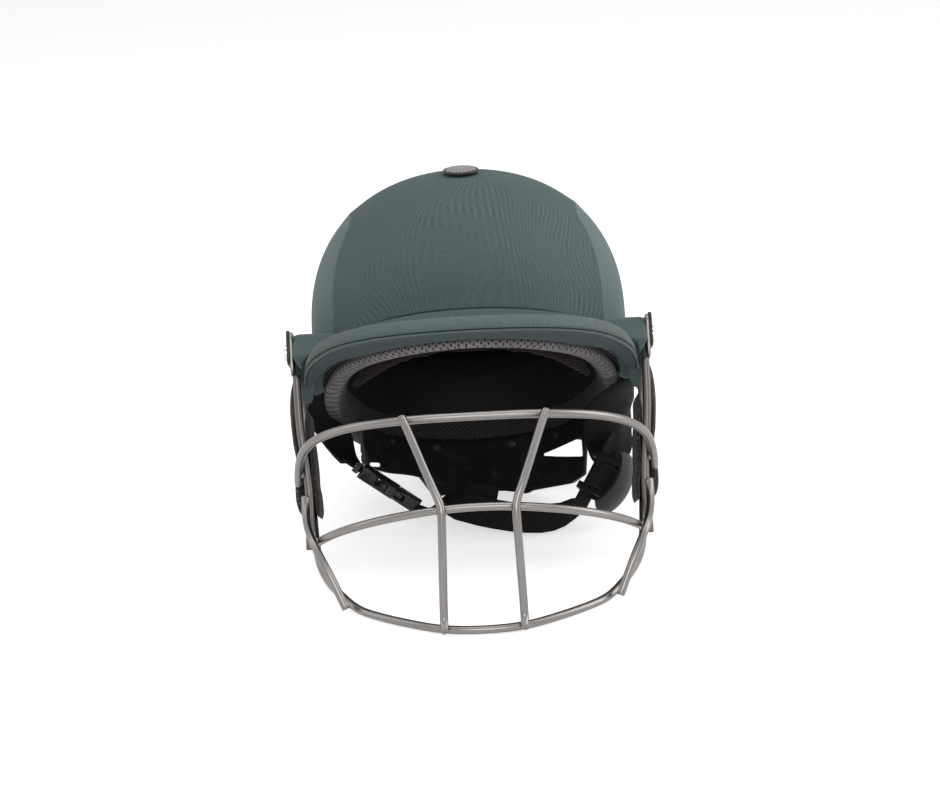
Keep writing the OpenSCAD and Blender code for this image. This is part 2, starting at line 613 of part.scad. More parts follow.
// How far the front and rear edges of each flap stand out of the straight, outwards
left_bulge = [14, 9];
right_bulge = [-10, 8];
function flap_grid(side, front_end, rear_end, out, bulge, in) = [for (r = [0:9]) [for (i = [0:8]) let (
    k = (side > 0 ? i : 8 - i) / 8, a = mix(flap_front_a, flap_rear_a, k), t = r / 9,
    p = dome(a, lat(min(rim_z(a) - band_drop - 0.6, temple_z - 1.7)),
        in + 1 - flap_flare * max(0, 1 - (a - flap_front_a) / 22)),
    e = mix(front_end, rear_end, k) + out * (flap_t / 2 - in))
    mix(to_rest([side * p[0], p[1], p[2]]), e, t)
        + [4 * side * mix(bulge[0], bulge[1], k) * t * (1 - t), 0, 0]]];
module flap(side, end, across, half_end, out, bulge) {
    front_end = end - across * half_end;
    rear_end = end + across * half_end;
    set_out() wall(flap_grid(side, front_end, rear_end, out, bulge, 0),
        flap_grid(side, front_end, rear_end, out, bulge, flap_t));
}
flap_lay = (strap_t + flap_t) / 2 + layer_gap;
module ear_flap_left() {
    color([0.11, 0.11, 0.12]) flap(-1, buckle_point([flap_x, 0, flap_lay + 1]), buckle_across,
        strap_w / 2 + 1, -buckle_up, left_bulge);
}
// The right flap's lower end is spread beside the chin cup
right_spread = unit([0.75, 0.5, 0.3]);
module ear_flap_right() {
    color([0.11, 0.11, 0.12]) flap(1, cup_point(flap_at) + cup_face * (flap_lay + 5), right_spread,
        strap_w / 2 + 2, cup_face, right_bulge);
}

// The side release buckle: a socket with side windows and a plug with two hinged prongs
socket_end = 5;
window_x = [-10.5, -1.2];
socket_wall = 1.8;
cavity_w = buckle_w - 4.2;
cavity_h = buckle_t - 2 * socket_wall;
prong_x = 9.5;
prong_y = 8.2;
prong_t = cavity_h - 1.8;
prong_pin_r = 1;
// Body of the buckle between two places along it, with bevelled edges
module buckle_body(x0, x1, w, t) {
    intersection() {
        translate([x0, 0, 0]) rotate([90, 0, 90]) linear_extrude(x1 - x0)
            polygon([[-w / 2, -t / 2 + 1.4], [-w / 2 + 1.4, -t / 2], [w / 2 - 1.4, -t / 2],
                [w / 2, -t / 2 + 1.4], [w / 2, t / 2 - 1.4], [w / 2 - 1.4, t / 2],
                [-w / 2 + 1.4, t / 2], [-w / 2, t / 2 - 1.4]]);
        translate([0, 0, -t]) linear_extrude(2 * t)
            polygon(concat(buckle_edge(w, 1), reverse_list(buckle_edge(w, -1))));
    }
}
function buckle_edge(w, s) = [[-half_l, s * (w / 2 - 3)], [-half_l + 2, s * (w / 2 - 1.4)],
    [-half_l + 9, s * (w / 2 - 1)], [-half_l + 12, s * w / 2], [half_l - 15, s * w / 2],
    [half_l - 9, s * (w / 2 - 1.4)], [half_l - 2, s * (w / 2 - 2)], [half_l, s * (w / 2 - 3.4)]];
function reverse_list(v) = [for (i = [len(v) - 1:-1:0]) v[i]];
module strap_pocket() {
    translate([half_l - 3, 0, 0]) cube([13, strap_w + 2 * loop_gap, strap_t + 2 * loop_gap], center = true);
}
module buckle_socket() {
    color([0.08, 0.08, 0.09]) at_buckle() difference() {
        buckle_body(-half_l, socket_end, buckle_w, buckle_t);
        translate([-12, -cavity_w / 2, -cavity_h / 2]) cube([13 + socket_end, cavity_w, cavity_h]);
        translate([window_x[0], -half_w - 1, -cavity_h / 2])
            cube([window_x[1] - window_x[0], buckle_w + 2, cavity_h]);
        mirror([1, 0, 0]) strap_pocket();
    }
}
module buckle_plug() {
    slot_w = half_w - prong_y + 3.8;
    color([0.08, 0.08, 0.09]) at_buckle() {
        difference() {
            buckle_body(socket_end + 0.4, half_l, buckle_w - 1, buckle_t - 0.6);
            for (s = [-1, 1]) translate([socket_end, s * (prong_y - 2.8 + slot_w / 2), 0])
                cube([2 * (prong_x + 3 - socket_end), slot_w, prong_t + 0.6], center = true);
            strap_pocket();
        }
        translate([-8, -2.5, -prong_t / 2]) cube([socket_end + 9, 5, prong_t]);
        for (s = [-1, 1]) translate([prong_x, s * prong_y, -buckle_t / 2 + 0.8])
            cylinder(r = prong_pin_r, h = buckle_t - 1.6);
    }
}
module prong() {
    translate([0, 0, -prong_t / 2]) difference() {
        union() {
            linear_extrude(prong_t) polygon([[prong_x, prong_y + 2.1], [-1.6, prong_y + 2.5],
                [-1.8, half_w - 0.6], [-4, half_w - 0.2], [-7, half_w - 1], [-9.4, prong_y + 1.8],
                [-9.4, prong_y - 0.2], [-2, prong_y - 0.3], [prong_x, prong_y - 2.1]]);
            translate([prong_x, prong_y, 0]) cylinder(r = 2.2, h = prong_t);
        }
        translate([prong_x, prong_y, -1]) cylinder(r = prong_pin_r + pin_gap, h = prong_t + 2);
    }
}
module prong_rear() {
    color([0.12, 0.12, 0.13]) at_buckle() prong();
}
module prong_front() {
    color([0.12, 0.12, 0.13]) at_buckle() mirror([0, 1, 0]) prong();
}

// Chin cup: a curved guard with two bridges that the strap runs through
cup_wall = 2;
cup_r = 34;
cup_rim = 12;
module chin_cup() {
    m = [for (k = [0:2]) [cup_face[k], cup_across[k], cup_dir[k], cup_at[k]]];
    center_x = cup_rim - sqrt(pow(cup_r - cup_wall, 2) - pow(cup_l / 2, 2) - pow(cup_w / 2, 2) / 2);
    color([0.15, 0.15, 0.16]) set_out() multmatrix(concat(m, [[0, 0, 0, 1]])) {
        intersection() {
            translate([center_x, 0, 0]) difference() {
                sphere(r = cup_r);
                sphere(r = cup_r - cup_wall);
            }
            translate([cup_rim, 0, 0]) rotate([90, 0, 90]) linear_extrude(cup_r) intersection() {
                square([cup_w, cup_l], center = true);
                circle(r = cup_l / 2);
            }
        }
        for (s = [-1, 1]) translate([0, 0, s * bridge_z]) bridge(center_x);
    }
}
module bridge(center_x) {
    inside = strap_w / 2 + loop_gap;
    back = strap_t / 2 + loop_gap;
    reach = center_x + sqrt(pow(cup_r - cup_wall / 2, 2) - pow(bridge_z, 2) - pow(inside + 1, 2));
    difference() {
        translate([-back - 1.8, -inside - 1.8, -bridge_w / 2])
            cube([reach + back + 1.8, 2 * inside + 3.6, bridge_w]);
        translate([-back, -inside, -bridge_w]) cube([reach + back + 1, 2 * inside, 2 * bridge_w]);
    }
}

// Screws, nuts and plates at the temples
module temple_screw(p) {
    translate([0, -p[0], p[1]]) rotate([0, 90, 0]) {
        translate([0, 0, flare_x - nut_depth - nut_t + 0.4])
            cylinder(d = screw_d, h = head_x - flare_x + nut_depth + nut_t);
        translate([0, 0, head_x + 0.1]) intersection() {
            cylinder(d = screw_head_d, h = screw_head_d);
            translate([0, 0, -screw_head_d * 0.72]) sphere(r = screw_head_d);
        }
    }
}
module pivot_screws() {
    color("silver") worn() both_sides() temple_screw([pivot_y, pivot_z]);
}
module adjuster_screws() {
    color("silver") worn() both_sides() temple_screw([adjust_y, adjust_z]);
}
module insert_nuts() {
    color("goldenrod") worn() both_sides() difference() {
        temple_holes(nut_r, flare_x - nut_depth - nut_t - 0.2, nut_t);
        temple_holes(screw_d / 2 + pin_gap, flare_x - 40, 60);
    }
}
module plate_outline(top, low, front, rear) {
    hull() {
        translate([-front + 5, top - 5]) circle(r = 5);
        translate([-rear - 5, top - 5]) circle(r = 5);
        translate([-front + 4, low + 4]) circle(r = 4);
        translate([-rear - 4, low + 4]) circle(r = 4);
    }
}
module clamp_plate() {
    difference() {
        translate([clamp_x, 0, 0]) rotate([90, 0, 90]) linear_extrude(clamp_t)
            plate_outline(flare_top_z + 1, flare_knee_z - 4, adjust_y + 9, pivot_y - 12);
        temple_holes(screw_d / 2 + pin_gap, flare_x - 5, 20);
    }
}
module clamp_plate_left() {
    color([0.17, 0.16, 0.16]) worn() mirror([1, 0, 0]) clamp_plate();
}
module clamp_plate_right() {
    color([0.17, 0.16, 0.16]) worn() clamp_plate();
}
plate_low_z = -19;
module mount_plate() {
    translate([plate_x, 0, 0]) difference() {
        rotate([90, 0, 90]) linear_extrude(plate_t)
            plate_outline(flare_top_z, plate_low_z, frame_front_y + 4, frame_rear_y - 5);
        translate([-1, -pivot_y, pivot_z]) rotate([0, 90, 0]) cylinder(r = screw_d / 2 + pin_gap, h = 4);
        translate([-1, -pivot_y, pivot_z]) rotate([0, 90, 0]) rotate([0, 0, adjust_angle - 90]) {
            rotate([0, 0, -tilt_range - 0.5]) rotate_extrude(angle = 2 * tilt_range + 1)
                translate([screw_pitch - screw_d / 2 - pin_gap, 0]) square([screw_d + 2 * pin_gap, 4]);
            for (s = [-1, 1]) rotate([0, 0, s * (tilt_range + 0.5)])
                translate([screw_pitch, 0, 0]) cylinder(r = screw_d / 2 + pin_gap, h = 4);
        }
    }
}
module mount_plate_left() {
    color([0.66, 0.64, 0.61]) worn() mirror([1, 0, 0]) mount_plate();
}
module mount_plate_right() {
    color([0.66, 0.64, 0.61]) worn() mount_plate();
}

// The wire grille, bent wires welded where they cross, in the worn position
frame_front_y = 78;
frame_rear_y = 34;
frame_x = plate_x - 1.8;
// Height of the floor below a place on the bottom bar, which lies flat on it
function on_floor(y) = bottom_bar_z + (y + bottom_bar_reach) * tan(lean);
top_bar_path = smooth(whole([[0, -top_bar_reach, top_bar_z], [24, -top_bar_reach + 0.6, top_bar_z],
    [center_top_x, -top_bar_reach + 3, top_bar_z - 0.3], [62, -top_bar_reach + 10, top_bar_z - 0.8],
    [78, -top_bar_reach + 20, top_bar_z - 1.5], [92, -top_bar_reach + 33, top_bar_z - 3.5],
    [102.3, -top_bar_reach + 46, top_bar_z - 6.5], [109.6, -top_bar_reach + 58, top_bar_z - 11.5],
    [113.4, -90, top_bar_z - 18], [115.1, -80, top_bar_z - 24.5], [116, -69, top_bar_z - 30]]), 2);
mid_bar_path = smooth(whole([[0, -mid_bar_reach, mid_bar_z],
    [center_mid_x, -mid_bar_reach + 0.6, mid_bar_z - 0.8],
    [50, -mid_bar_reach + 6, mid_bar_z - 3.5], [74, -mid_bar_reach + 19, mid_bar_z - 7],
    [91, -128, mid_bar_z - 10.5], [101.3, -107, mid_bar_z - 13.5], [104.6, -97, mid_bar_z - 14.6]]), 2);
bottom_bar_path = smooth(whole([[0, -bottom_bar_reach, on_floor(-bottom_bar_reach)],
    [center_low_x, -bottom_bar_reach + 3, on_floor(-bottom_bar_reach + 3)],
    [46, -bottom_bar_reach + 13.5, on_floor(-bottom_bar_reach + 13.5)],
    [65, -bottom_bar_reach + 25.5, on_floor(-bottom_bar_reach + 25.5)],
    [79, -bottom_bar_reach + 38, on_floor(-bottom_bar_reach + 38)],
    [89, -100, -164.5], [98, -84, -155], [104, -71, -144], [106.8, -60.5, -131], [108.6, -50, -113],
    [110.6, -41, -88], [113, -frame_rear_y - 1.5, -52], [frame_x, -frame_rear_y, plate_low_z - 0.1]]), 2);
module top_bar() {
    color([0.66, 0.64, 0.61]) worn() wire(top_bar_path, top_r);
}
module mid_bar() {
    color([0.66, 0.64, 0.61]) worn() wire(mid_bar_path, wire_r);
}
module bottom_bar() {
    color([0.66, 0.64, 0.61]) worn() wire(bottom_bar_path, wire_r);
}
// Centre wire, laid on the front of the three bars
module center_bar() {
    wire(smooth([[center_top_x + 1, -top_bar_reach + 3 - top_weld, top_bar_z + 1.8],
        [center_top_x - 3, -top_bar_reach + 1.6 - top_weld, top_bar_z - 8],
        [mix(center_top_x, center_mid_x, 0.7), -mid_bar_reach + 1.5 - wire_weld, mid_bar_z + 17],
        [center_mid_x + 0.5, -mid_bar_reach - wire_weld, mid_bar_z + 2],
        [center_mid_x, -mid_bar_reach + 0.5 - wire_weld, mid_bar_z - 8],
        [center_low_x - 1, -mid_bar_reach + 6 - wire_weld, mid_bar_z - 35],
        [center_low_x, -bottom_bar_reach + 5 - wire_weld, bottom_bar_z + 12],
        [center_low_x, -bottom_bar_reach + center_set_back - wire_weld, bottom_bar_z + 0.6]], 3),
        wire_r, up = [0, 1, 0]);
}
module center_bar_left() {
    color([0.66, 0.64, 0.61]) worn() mirror([1, 0, 0]) center_bar();
}
module center_bar_right() {
    color([0.66, 0.64, 0.61]) worn() center_bar();
}
// Front side wire, from the mount plate down beside the ear
module side_frame() {
    wire(smooth([[frame_x, -frame_front_y, plate_low_z - 0.1], [113, -frame_front_y - 1, -52],
        [109.6, -frame_front_y - 2, top_bar_z - 23.5], [108.4, -frame_front_y - 3, -106],
        [109.2, -frame_front_y - 4, -120], [109.6, -frame_front_y - 4, -133]], 3), wire_r, up = [0, 1, 0]);
}
module side_frame_left() {
    color([0.66, 0.64, 0.61]) worn() mirror([1, 0, 0]) side_frame();
}
module side_frame_right() {
    color([0.66, 0.64, 0.61]) worn() side_frame();
}
// Side wire that ties the front side wire, the middle bar and the bottom bar
module side_bar() {
    wire(smooth([[110.8, -86.4, -99], [110.8, -89.5, -108], [109.6, -98, -118], [106, -109.5, -128.5],
        [101.8, -114, -138], [95, -116.2, -152], [86.2, -115.8, -172.6]], 3), wire_r, up = [0, 1, 0]);
}
module side_bar_left() {
    color([0.66, 0.64, 0.61]) worn() mirror([1, 0, 0]) side_bar();
}
module side_bar_right() {
    color([0.66, 0.64, 0.61]) worn() side_bar();
}
// Foam pads that line the side wires, outside and inside
wire_line = [[frame_x, plate_low_z], [113, -52], [110.6, -88], [108.6, -114]];
function wire_x(z) = lookup(-z, [for (p = wire_line) [-p[1], p[0]]]);
pad_swell = [[-20.5, 0.4], [-24, 0.6], [-30, 0.85], [-38, 0.9], [-50, 0.85], [-61, 0.68], [-72, 0.62],
    [-82, 0.75], [-91, 1.15], [-101, 1.4], [-109, 1.1], [-114, 0.35]];
outer_pad_y = 40;
outer_pad_w = 24;
module outer_pad() {
    translate([0, -outer_pad_y, 0]) rotate([90, 0, 0]) linear_extrude(outer_pad_w)
        polygon(concat([for (p = pad_swell) [wire_x(p[0]) + wire_r + weld_gap + side_pad_t * p[1], p[0]]],
            [for (i = [len(pad_swell) - 1:-1:0]) let (z = pad_swell[i][0])
                [wire_x(z) + wire_r + weld_gap, z]]));
}
module outer_pad_left() {
    color([0.34, 0.31, 0.30]) worn() mirror([1, 0, 0]) outer_pad();
}
module outer_pad_right() {
    color([0.34, 0.31, 0.30]) worn() outer_pad();
}
strip_heights = [-41, -52, -88, -113];
strip_in = 2 * weld_gap + wire_r;
module inner_strip() {
    translate([0, -frame_rear_y - wire_r, 0]) rotate([90, 0, 0])
        linear_extrude(frame_front_y - frame_rear_y) polygon(concat(
            [for (z = strip_heights) [wire_x(z) - strip_in - 1.6, z]],
            [for (i = [3:-1:0]) let (z = strip_heights[i]) [wire_x(z) - strip_in - 1.6 - strip_t, z]]));
}
module inner_strip_left() {
    color([0.22, 0.20, 0.20]) worn() mirror([1, 0, 0]) inner_strip();
}
module inner_strip_right() {
    color([0.22, 0.20, 0.20]) worn() inner_strip();
}

outer_shell();
cover_center_panel();
cover_left_panel();
cover_right_panel();
temple_flare_left();
temple_flare_right();
peak_board();
peak_cover();
peak_edge_band();
peak_underside();
button_base();
button_cap();
foam_liner();
rim_band();
forehead_pad();
crown_pad();
rear_pad();
liner_ribs();
ear_flap_left();
ear_flap_right();
nape_cradle();
cradle_rivets();
ear_strap_left();
chin_strap();
strap_tail();
strap_keeper();
buckle_socket();
buckle_plug();
prong_rear();
prong_front();
chin_cup();
pivot_screws();
adjuster_screws();
insert_nuts();
clamp_plate_left();
clamp_plate_right();
mount_plate_left();
mount_plate_right();
top_bar();
mid_bar();
bottom_bar();
center_bar_left();
center_bar_right();
side_bar_left();
side_bar_right();
side_frame_left();
side_frame_right();
outer_pad_left();
outer_pad_right();
inner_strip_left();
inner_strip_right();
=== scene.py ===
import bpy, json, math
from mathutils import Vector, Matrix, bvhtree, noise


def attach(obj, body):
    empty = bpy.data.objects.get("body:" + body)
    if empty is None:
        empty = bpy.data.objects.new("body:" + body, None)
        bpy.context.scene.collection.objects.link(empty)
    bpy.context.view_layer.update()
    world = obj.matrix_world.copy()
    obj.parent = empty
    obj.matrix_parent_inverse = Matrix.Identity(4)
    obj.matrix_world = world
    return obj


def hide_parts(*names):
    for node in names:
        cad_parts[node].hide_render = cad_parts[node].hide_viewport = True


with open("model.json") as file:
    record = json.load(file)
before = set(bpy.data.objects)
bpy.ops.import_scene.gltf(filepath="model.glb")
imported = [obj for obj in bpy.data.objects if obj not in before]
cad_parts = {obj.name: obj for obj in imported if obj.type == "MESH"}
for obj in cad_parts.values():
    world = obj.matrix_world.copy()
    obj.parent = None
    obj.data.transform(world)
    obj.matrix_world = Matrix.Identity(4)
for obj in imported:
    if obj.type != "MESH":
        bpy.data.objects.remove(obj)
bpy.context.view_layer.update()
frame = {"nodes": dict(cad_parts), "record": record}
cad = frame["nodes"]
bodyOf = {n: b for b, members in frame["record"]["behaviour"]["bodies"].items() for n in members}
print("frame loaded:", len(cad), "nodes")

# the worn pose is upright; on the floor the helmet leans back and stands on its bottom bar
stand = {"lean": math.radians(24), "back": 0.042774, "up": 0.115283}
dome = {"halfWidth": 0.1085, "halfLength": 0.1225, "rise": 0.1045, "middleZ": 0.020, "middleY": 0.0025,
        "full": 2.25, "skirt": 0.230, "girth": 0.112, "seamAngle": 54.5, "seamCorner": 30, "seamArch": 17}
peak = {"halfWidth": 0.1125, "reach": 0.101, "rootY": 0.062, "topZ": 0.0015, "drop": 0.030, "dropPower": 2.6,
        "turnEnd": 84.5, "rootTurn": 0.8, "rootRise": 0.011, "rootDepth": -0.0006}


def standing(p):  # a worn point, set into the leaning rest pose
    c, s = math.cos(stand["lean"]), math.sin(stand["lean"])
    return Vector((p[0], p[1] * c + p[2] * s + stand["back"], p[2] * c - p[1] * s + stand["up"]))


def worn(p):  # and back again
    c, s, y, z = math.cos(stand["lean"]), math.sin(stand["lean"]), p[1] - stand["back"], p[2] - stand["up"]
    return Vector((p[0], y * c - z * s, y * s + z * c))


def domePoint(angle, latitude, depth=0.0):  # angle round from the front, latitude up from the widest line
    a, f = math.radians(angle), math.radians(latitude)
    k = math.cos(f) ** (2 / dome["full"]) if f >= 0 else math.cos(f)
    z = (dome["rise"] - depth) * math.sin(f) ** (2 / dome["full"]) if f >= 0 else dome["skirt"] * math.sin(f)
    return standing(((dome["halfWidth"] - depth) * k * math.sin(a),
                     dome["middleY"] - (dome["halfLength"] - depth) * k * math.cos(a), dome["middleZ"] + z))


def peakDrop(turn):  # height of the peak's rim, falling towards its two ends
    return peak["topZ"] - peak["drop"] * (1 - math.cos(math.radians(turn))) ** peak["dropPower"]


def peakPoint(turn, inward, down):
    t = math.radians(turn)
    return standing(((peak["halfWidth"] - inward) * math.sin(t),
                     -peak["rootY"] - (peak["reach"] - inward) * math.cos(t), peakDrop(turn) - down))


def peakRoot(turn, up=0.0):  # where the peak's top meets the dome
    height = peakDrop(turn) + peak["rootRise"] * math.cos(math.radians(turn)) + up
    if height >= dome["middleZ"]:
        latitude = math.asin(((height - dome["middleZ"]) / dome["rise"]) ** (dome["full"] / 2))
    else:
        latitude = -math.asin((dome["middleZ"] - height) / dome["skirt"])
    return domePoint(turn * peak["rootTurn"], math.degrees(latitude), peak["rootDepth"])


# ---- shading ----
class num:  # wraps a socket, so that sums and products of sockets add their own Math nodes
    def __init__(self, graph, socket):
        self.graph, self.socket = graph, socket

    def maths(self, operation, *values):
        return self.graph.node("ShaderNodeMath", {"operation": operation}, dict(enumerate(values)))

    def __add__(self, b): return self.maths("ADD", self, b)
    def __radd__(self, b): return self.maths("ADD", b, self)
    def __sub__(self, b): return self.maths("SUBTRACT", self, b)
    def __rsub__(self, b): return self.maths("SUBTRACT", b, self)
    def __mul__(self, b): return self.maths("MULTIPLY", self, b)
    def __truediv__(self, b): return self.maths("DIVIDE", self, b)
    def __pow__(self, b): return self.maths("POWER", self, b)
    def sin(self): return self.maths("SINE", self)
    def cos(self): return self.maths("COSINE", self)
    def size(self): return self.maths("ABSOLUTE", self)
    def most(self, b): return self.maths("MAXIMUM", self, b)

    def between(self, low, high):  # 0 at low, 1 at high, smooth
        return self.graph.node("ShaderNodeMapRange", {"interpolation_type": "SMOOTHSTEP"},
                               {"Value": self, "From Min": low, "From Max": high})


class graph:  # the node tree of a material or of the world
    def __init__(self, tree):
        self.tree = tree

    def node(self, kind, settings, sockets, out=0):
        n = self.tree.nodes.new(kind)
        for key, value in settings.items():
            setattr(n, key, value)
        for key, value in sockets.items():
            self.join(n.inputs[key], value)
        return num(self, n.outputs[out])

    def join(self, socket, value):
        if isinstance(value, num):
            self.tree.links.new(value.socket, socket)
        elif isinstance(value, (tuple, list)) and len(value) == 3 and socket.type == "RGBA":
            socket.default_value = (*value, 1)
        else:
            socket.default_value = value

    def seen(self):  # 1 for the camera's rays, and for those that reach it off metal or through glass
        ways = [self.node("ShaderNodeLightPath", {}, {}, "Is " + word + " Ray")
                for word in ("Camera", "Glossy", "Transmission")]
        return ways[0].most(ways[1]).most(ways[2])


class look(graph):
    def __init__(self, name, fixed):
        self.material = bpy.data.materials.new(name)
        self.material.use_nodes = True
        super().__init__(self.material.node_tree)
        self.shader = self.tree.nodes["Principled BSDF"]
        for socket, value in fixed.items():
            self.give(socket, value)

    def give(self, socket, value):
        self.join(self.shader.inputs[socket], value)

    def place(self):
        return self.node("ShaderNodeTexCoord", {}, {}, "Object")

    def split(self, vector):
        n = self.node("ShaderNodeSeparateXYZ", {}, {0: vector}).socket.node
        return [num(self, n.outputs[i]) for i in range(3)]

    def worn(self):  # across, fore and aft, and up, as the helmet is worn
        c, s = math.cos(stand["lean"]), math.sin(stand["lean"])
        x, y, z = self.split(self.place())
        y, z = y - stand["back"], z - stand["up"]
        return x, y * c - z * s, y * s + z * c

    def wrapped(self):  # distance round the dome, and height
        x, y, z = self.worn()
        turn = self.node("ShaderNodeMath", {"operation": "ARCTAN2"}, {0: x, 1: dome["middleY"] - y})
        return turn * dome["girth"], z

    def vector(self, x, y, z):
        return self.node("ShaderNodeCombineXYZ", {}, {0: x, 1: y, 2: z})

    def grain(self, scale, detail=3.0, vector=None):
        return self.node("ShaderNodeTexNoise", {}, {"Vector": vector or self.place(), "Scale": scale,
                                                    "Detail": detail, "Roughness": 0.55})

    def cells(self, scale):
        return self.node("ShaderNodeTexVoronoi", {}, {"Vector": self.place(), "Scale": scale}, "Distance")

    def mix(self, factor, a, b):
        return self.node("ShaderNodeMix", {"data_type": "RGBA"}, {"Factor": factor, 6: a, 7: b}, 2)

    def tint(self, colour, amount):  # the colour lightened and darkened by a number round 1
        return self.node("ShaderNodeVectorMath", {"operation": "SCALE"}, {0: colour, "Scale": amount})

    def bump(self, height, distance, strength=1.0):
        self.give("Normal", self.node("ShaderNodeBump", {}, {"Height": height, "Distance": distance,
                                                             "Strength": strength}))


def ridge(way, pitch):  # rounded ridges a pitch apart, from 0 to 1
    return (way * (2 * math.pi / pitch)).sin() * 0.5 + 0.5


def clothLook(name, tone):  # stretch twill, with faint swirling lines in places
    k = look(name, {"Roughness": 0.88, "Sheen Weight": tone["sheen"], "Sheen Roughness": 0.5,
                    "Specular IOR Level": 0.12})
    u, v = k.wrapped()
    x, y, z = k.worn()
    mirrored = k.vector(0.004 - x, y, z)
    drift = k.grain(7, 1.0, mirrored) - 0.5
    swirl = k.grain(15, 1.0, mirrored) - 0.5
    broken = ridge(u * 0.55 + v * 0.5 + swirl * tone["wander"], tone["ripple"] * 4.3)
    places = k.grain(13, 2.0).between(0.38, 0.56) * (broken * 0.75 + 0.25)
    fine = k.grain(1250, 2.0).between(0.28, 0.72)
    thread = ridge(u + v * 0.9, tone["pitch"])
    lines = ridge(u + (drift + swirl * 0.25) * tone["wander"], tone["ripple"])
    colour = tone["colour"]
    if "grey" in tone:  # paler grey towards both sides
        colour = k.mix(x.size().between(*tone["faded"]) * 0.75, colour, tone["grey"])
    shade = 1 + (lines - 0.5) * places * tone["contrast"] + drift * 0.25 + (fine - 0.5) * 0.34
    k.give("Base Color", k.tint(colour, shade + (thread - 0.5) * tone["twill"]))
    k.bump(thread * 0.6 + lines * places * 0.3 + fine * 0.4, 0.0001, 0.6)
    return k.material


def meshLook(name, tone):  # three-layer spacer mesh: holes in a close hexagonal net, with painted shade towards the back and inside
    k = look(name, {"Roughness": 0.78, "Sheen Weight": 0.1, "Specular IOR Level": 0.3})
    u, v = k.wrapped()
    w = 2 * math.pi / tone["pitch"]
    v = v * 0.7 + (k.grain(60) - 0.5) * 0.004
    a, b = u * (w * 0.5), v * (w * 0.866)
    net = ((u * w).cos() + (a + b).cos() + (a - b).cos()) / 3
    hole = (net + (k.grain(700, 2.0) - 0.5) * 0.5).between(0.12, 0.5)
    wear = k.grain(55, 4.0) * 0.5 + 0.75
    x, y, z = k.worn()
    reach = ((x / dome["halfWidth"]) ** 2 + ((y - dome["middleY"]) / dome["halfLength"]) ** 2) ** 0.5
    # painted shade: the mesh and its holes darkened towards the back of the helmet and deeper inside it
    paintedShade = y.between(*tone["darkBack"]).most(reach.between(*tone["darkInside"])) * 0.86
    k.give("Base Color", k.mix(hole, k.tint(tone["colour"], wear - paintedShade * wear),
                               k.tint(tone["hole"], 1 - paintedShade)))
    k.bump((1 - hole) + k.grain(1500, 2.0) * 0.2, 0.0006)
    return k.material


def ribbedLook(name, tone):  # fine ribs of a brushed or woven lining
    k = look(name, {"Roughness": tone["rough"], "Sheen Weight": tone["sheen"], "Sheen Roughness": 0.35,
                    "Specular IOR Level": tone["shine"]})
    u, v = k.wrapped()
    ways = {"round": u, "up": v, "run": k.node("ShaderNodeAttribute", {"attribute_name": "run"}, {}, "Fac")}
    rib = ridge(ways[tone["across"]] + (k.grain(40) - 0.5) * 0.0006, tone["pitch"])
    mottle = k.grain(70, 5.0)
    k.give("Base Color", k.tint(tone["colour"], rib * 0.5 + mottle * 0.9 + 0.3))
    k.bump(rib + k.grain(1200, 2.0) * 0.25, tone["depth"])
    return k.material


def speckLook(name, tone):  # open-cell foam with pale flecks
    k = look(name, {"Roughness": 0.9, "Specular IOR Level": 0.2, "Sheen Weight": 0.08})
    fleck = k.cells(tone["fleck"]).between(0.34, 0.12)
    fine = k.grain(800, 3.0)
    base = k.tint(tone["colour"], fine * 0.9 + 0.5 + (k.grain(45) - 0.5) * 0.5)
    k.give("Base Color", k.mix(fleck * fine * 1.3, base, tone["speck"]))
    k.bump(fine + k.cells(tone["fleck"] * 1.6) * 0.6, 0.00035)
    return k.material


def foamLook(name, tone):  # moulded foam of the liner
    k = look(name, {"Roughness": 0.72, "Specular IOR Level": 0.3, "Sheen Weight": 0.05})
    fine = k.grain(600, 3.0)
    k.give("Base Color", k.tint(tone["colour"], fine * 0.7 + k.grain(30) * 0.6 + 0.3))
    k.bump(fine + k.cells(380) * 0.5, 0.0002)
    return k.material


def metalLook(name, tone):  # drawn wire and plate with a satin plated skin
    k = look(name, {"Metallic": 1.0})
    drawn = k.node("ShaderNodeMapping", {}, {"Vector": k.place(), "Scale": tone["streak"]})
    streak = k.grain(140, 4.0, drawn)
    cloud = k.grain(26, 4.0)
    pit = k.cells(520).between(0.16, 0.03)
    plated = k.tint(tone["colour"], 0.82 + streak * 0.2 + cloud * 0.18)
    k.give("Base Color", k.mix(pit * 0.5, plated, tone["dull"]))
    k.give("Roughness", tone["rough"] + (streak - 0.5) * 0.16 + (cloud - 0.5) * 0.14)
    k.bump(streak + k.grain(700, 2.0) * 0.4, 0.00004, 0.6)
    return k.material


def plasticLook(name, tone):  # moulded plastic with a spark-eroded skin and rubbed high spots
    k = look(name, {"Specular IOR Level": 0.3})
    fine = k.grain(tone["grain"], 2.0)
    cloud = k.grain(38, 4.0)
    rub = k.grain(120, 5.0).between(0.56, 0.72)
    k.give("Base Color", k.mix(rub * 0.35, k.tint(tone["colour"], 0.8 + cloud * 0.4), tone["worn"]))
    k.give("Roughness", tone["rough"] + (cloud - 0.5) * 0.2 + rub * 0.1)
    k.bump(fine, tone["depth"])
    return k.material


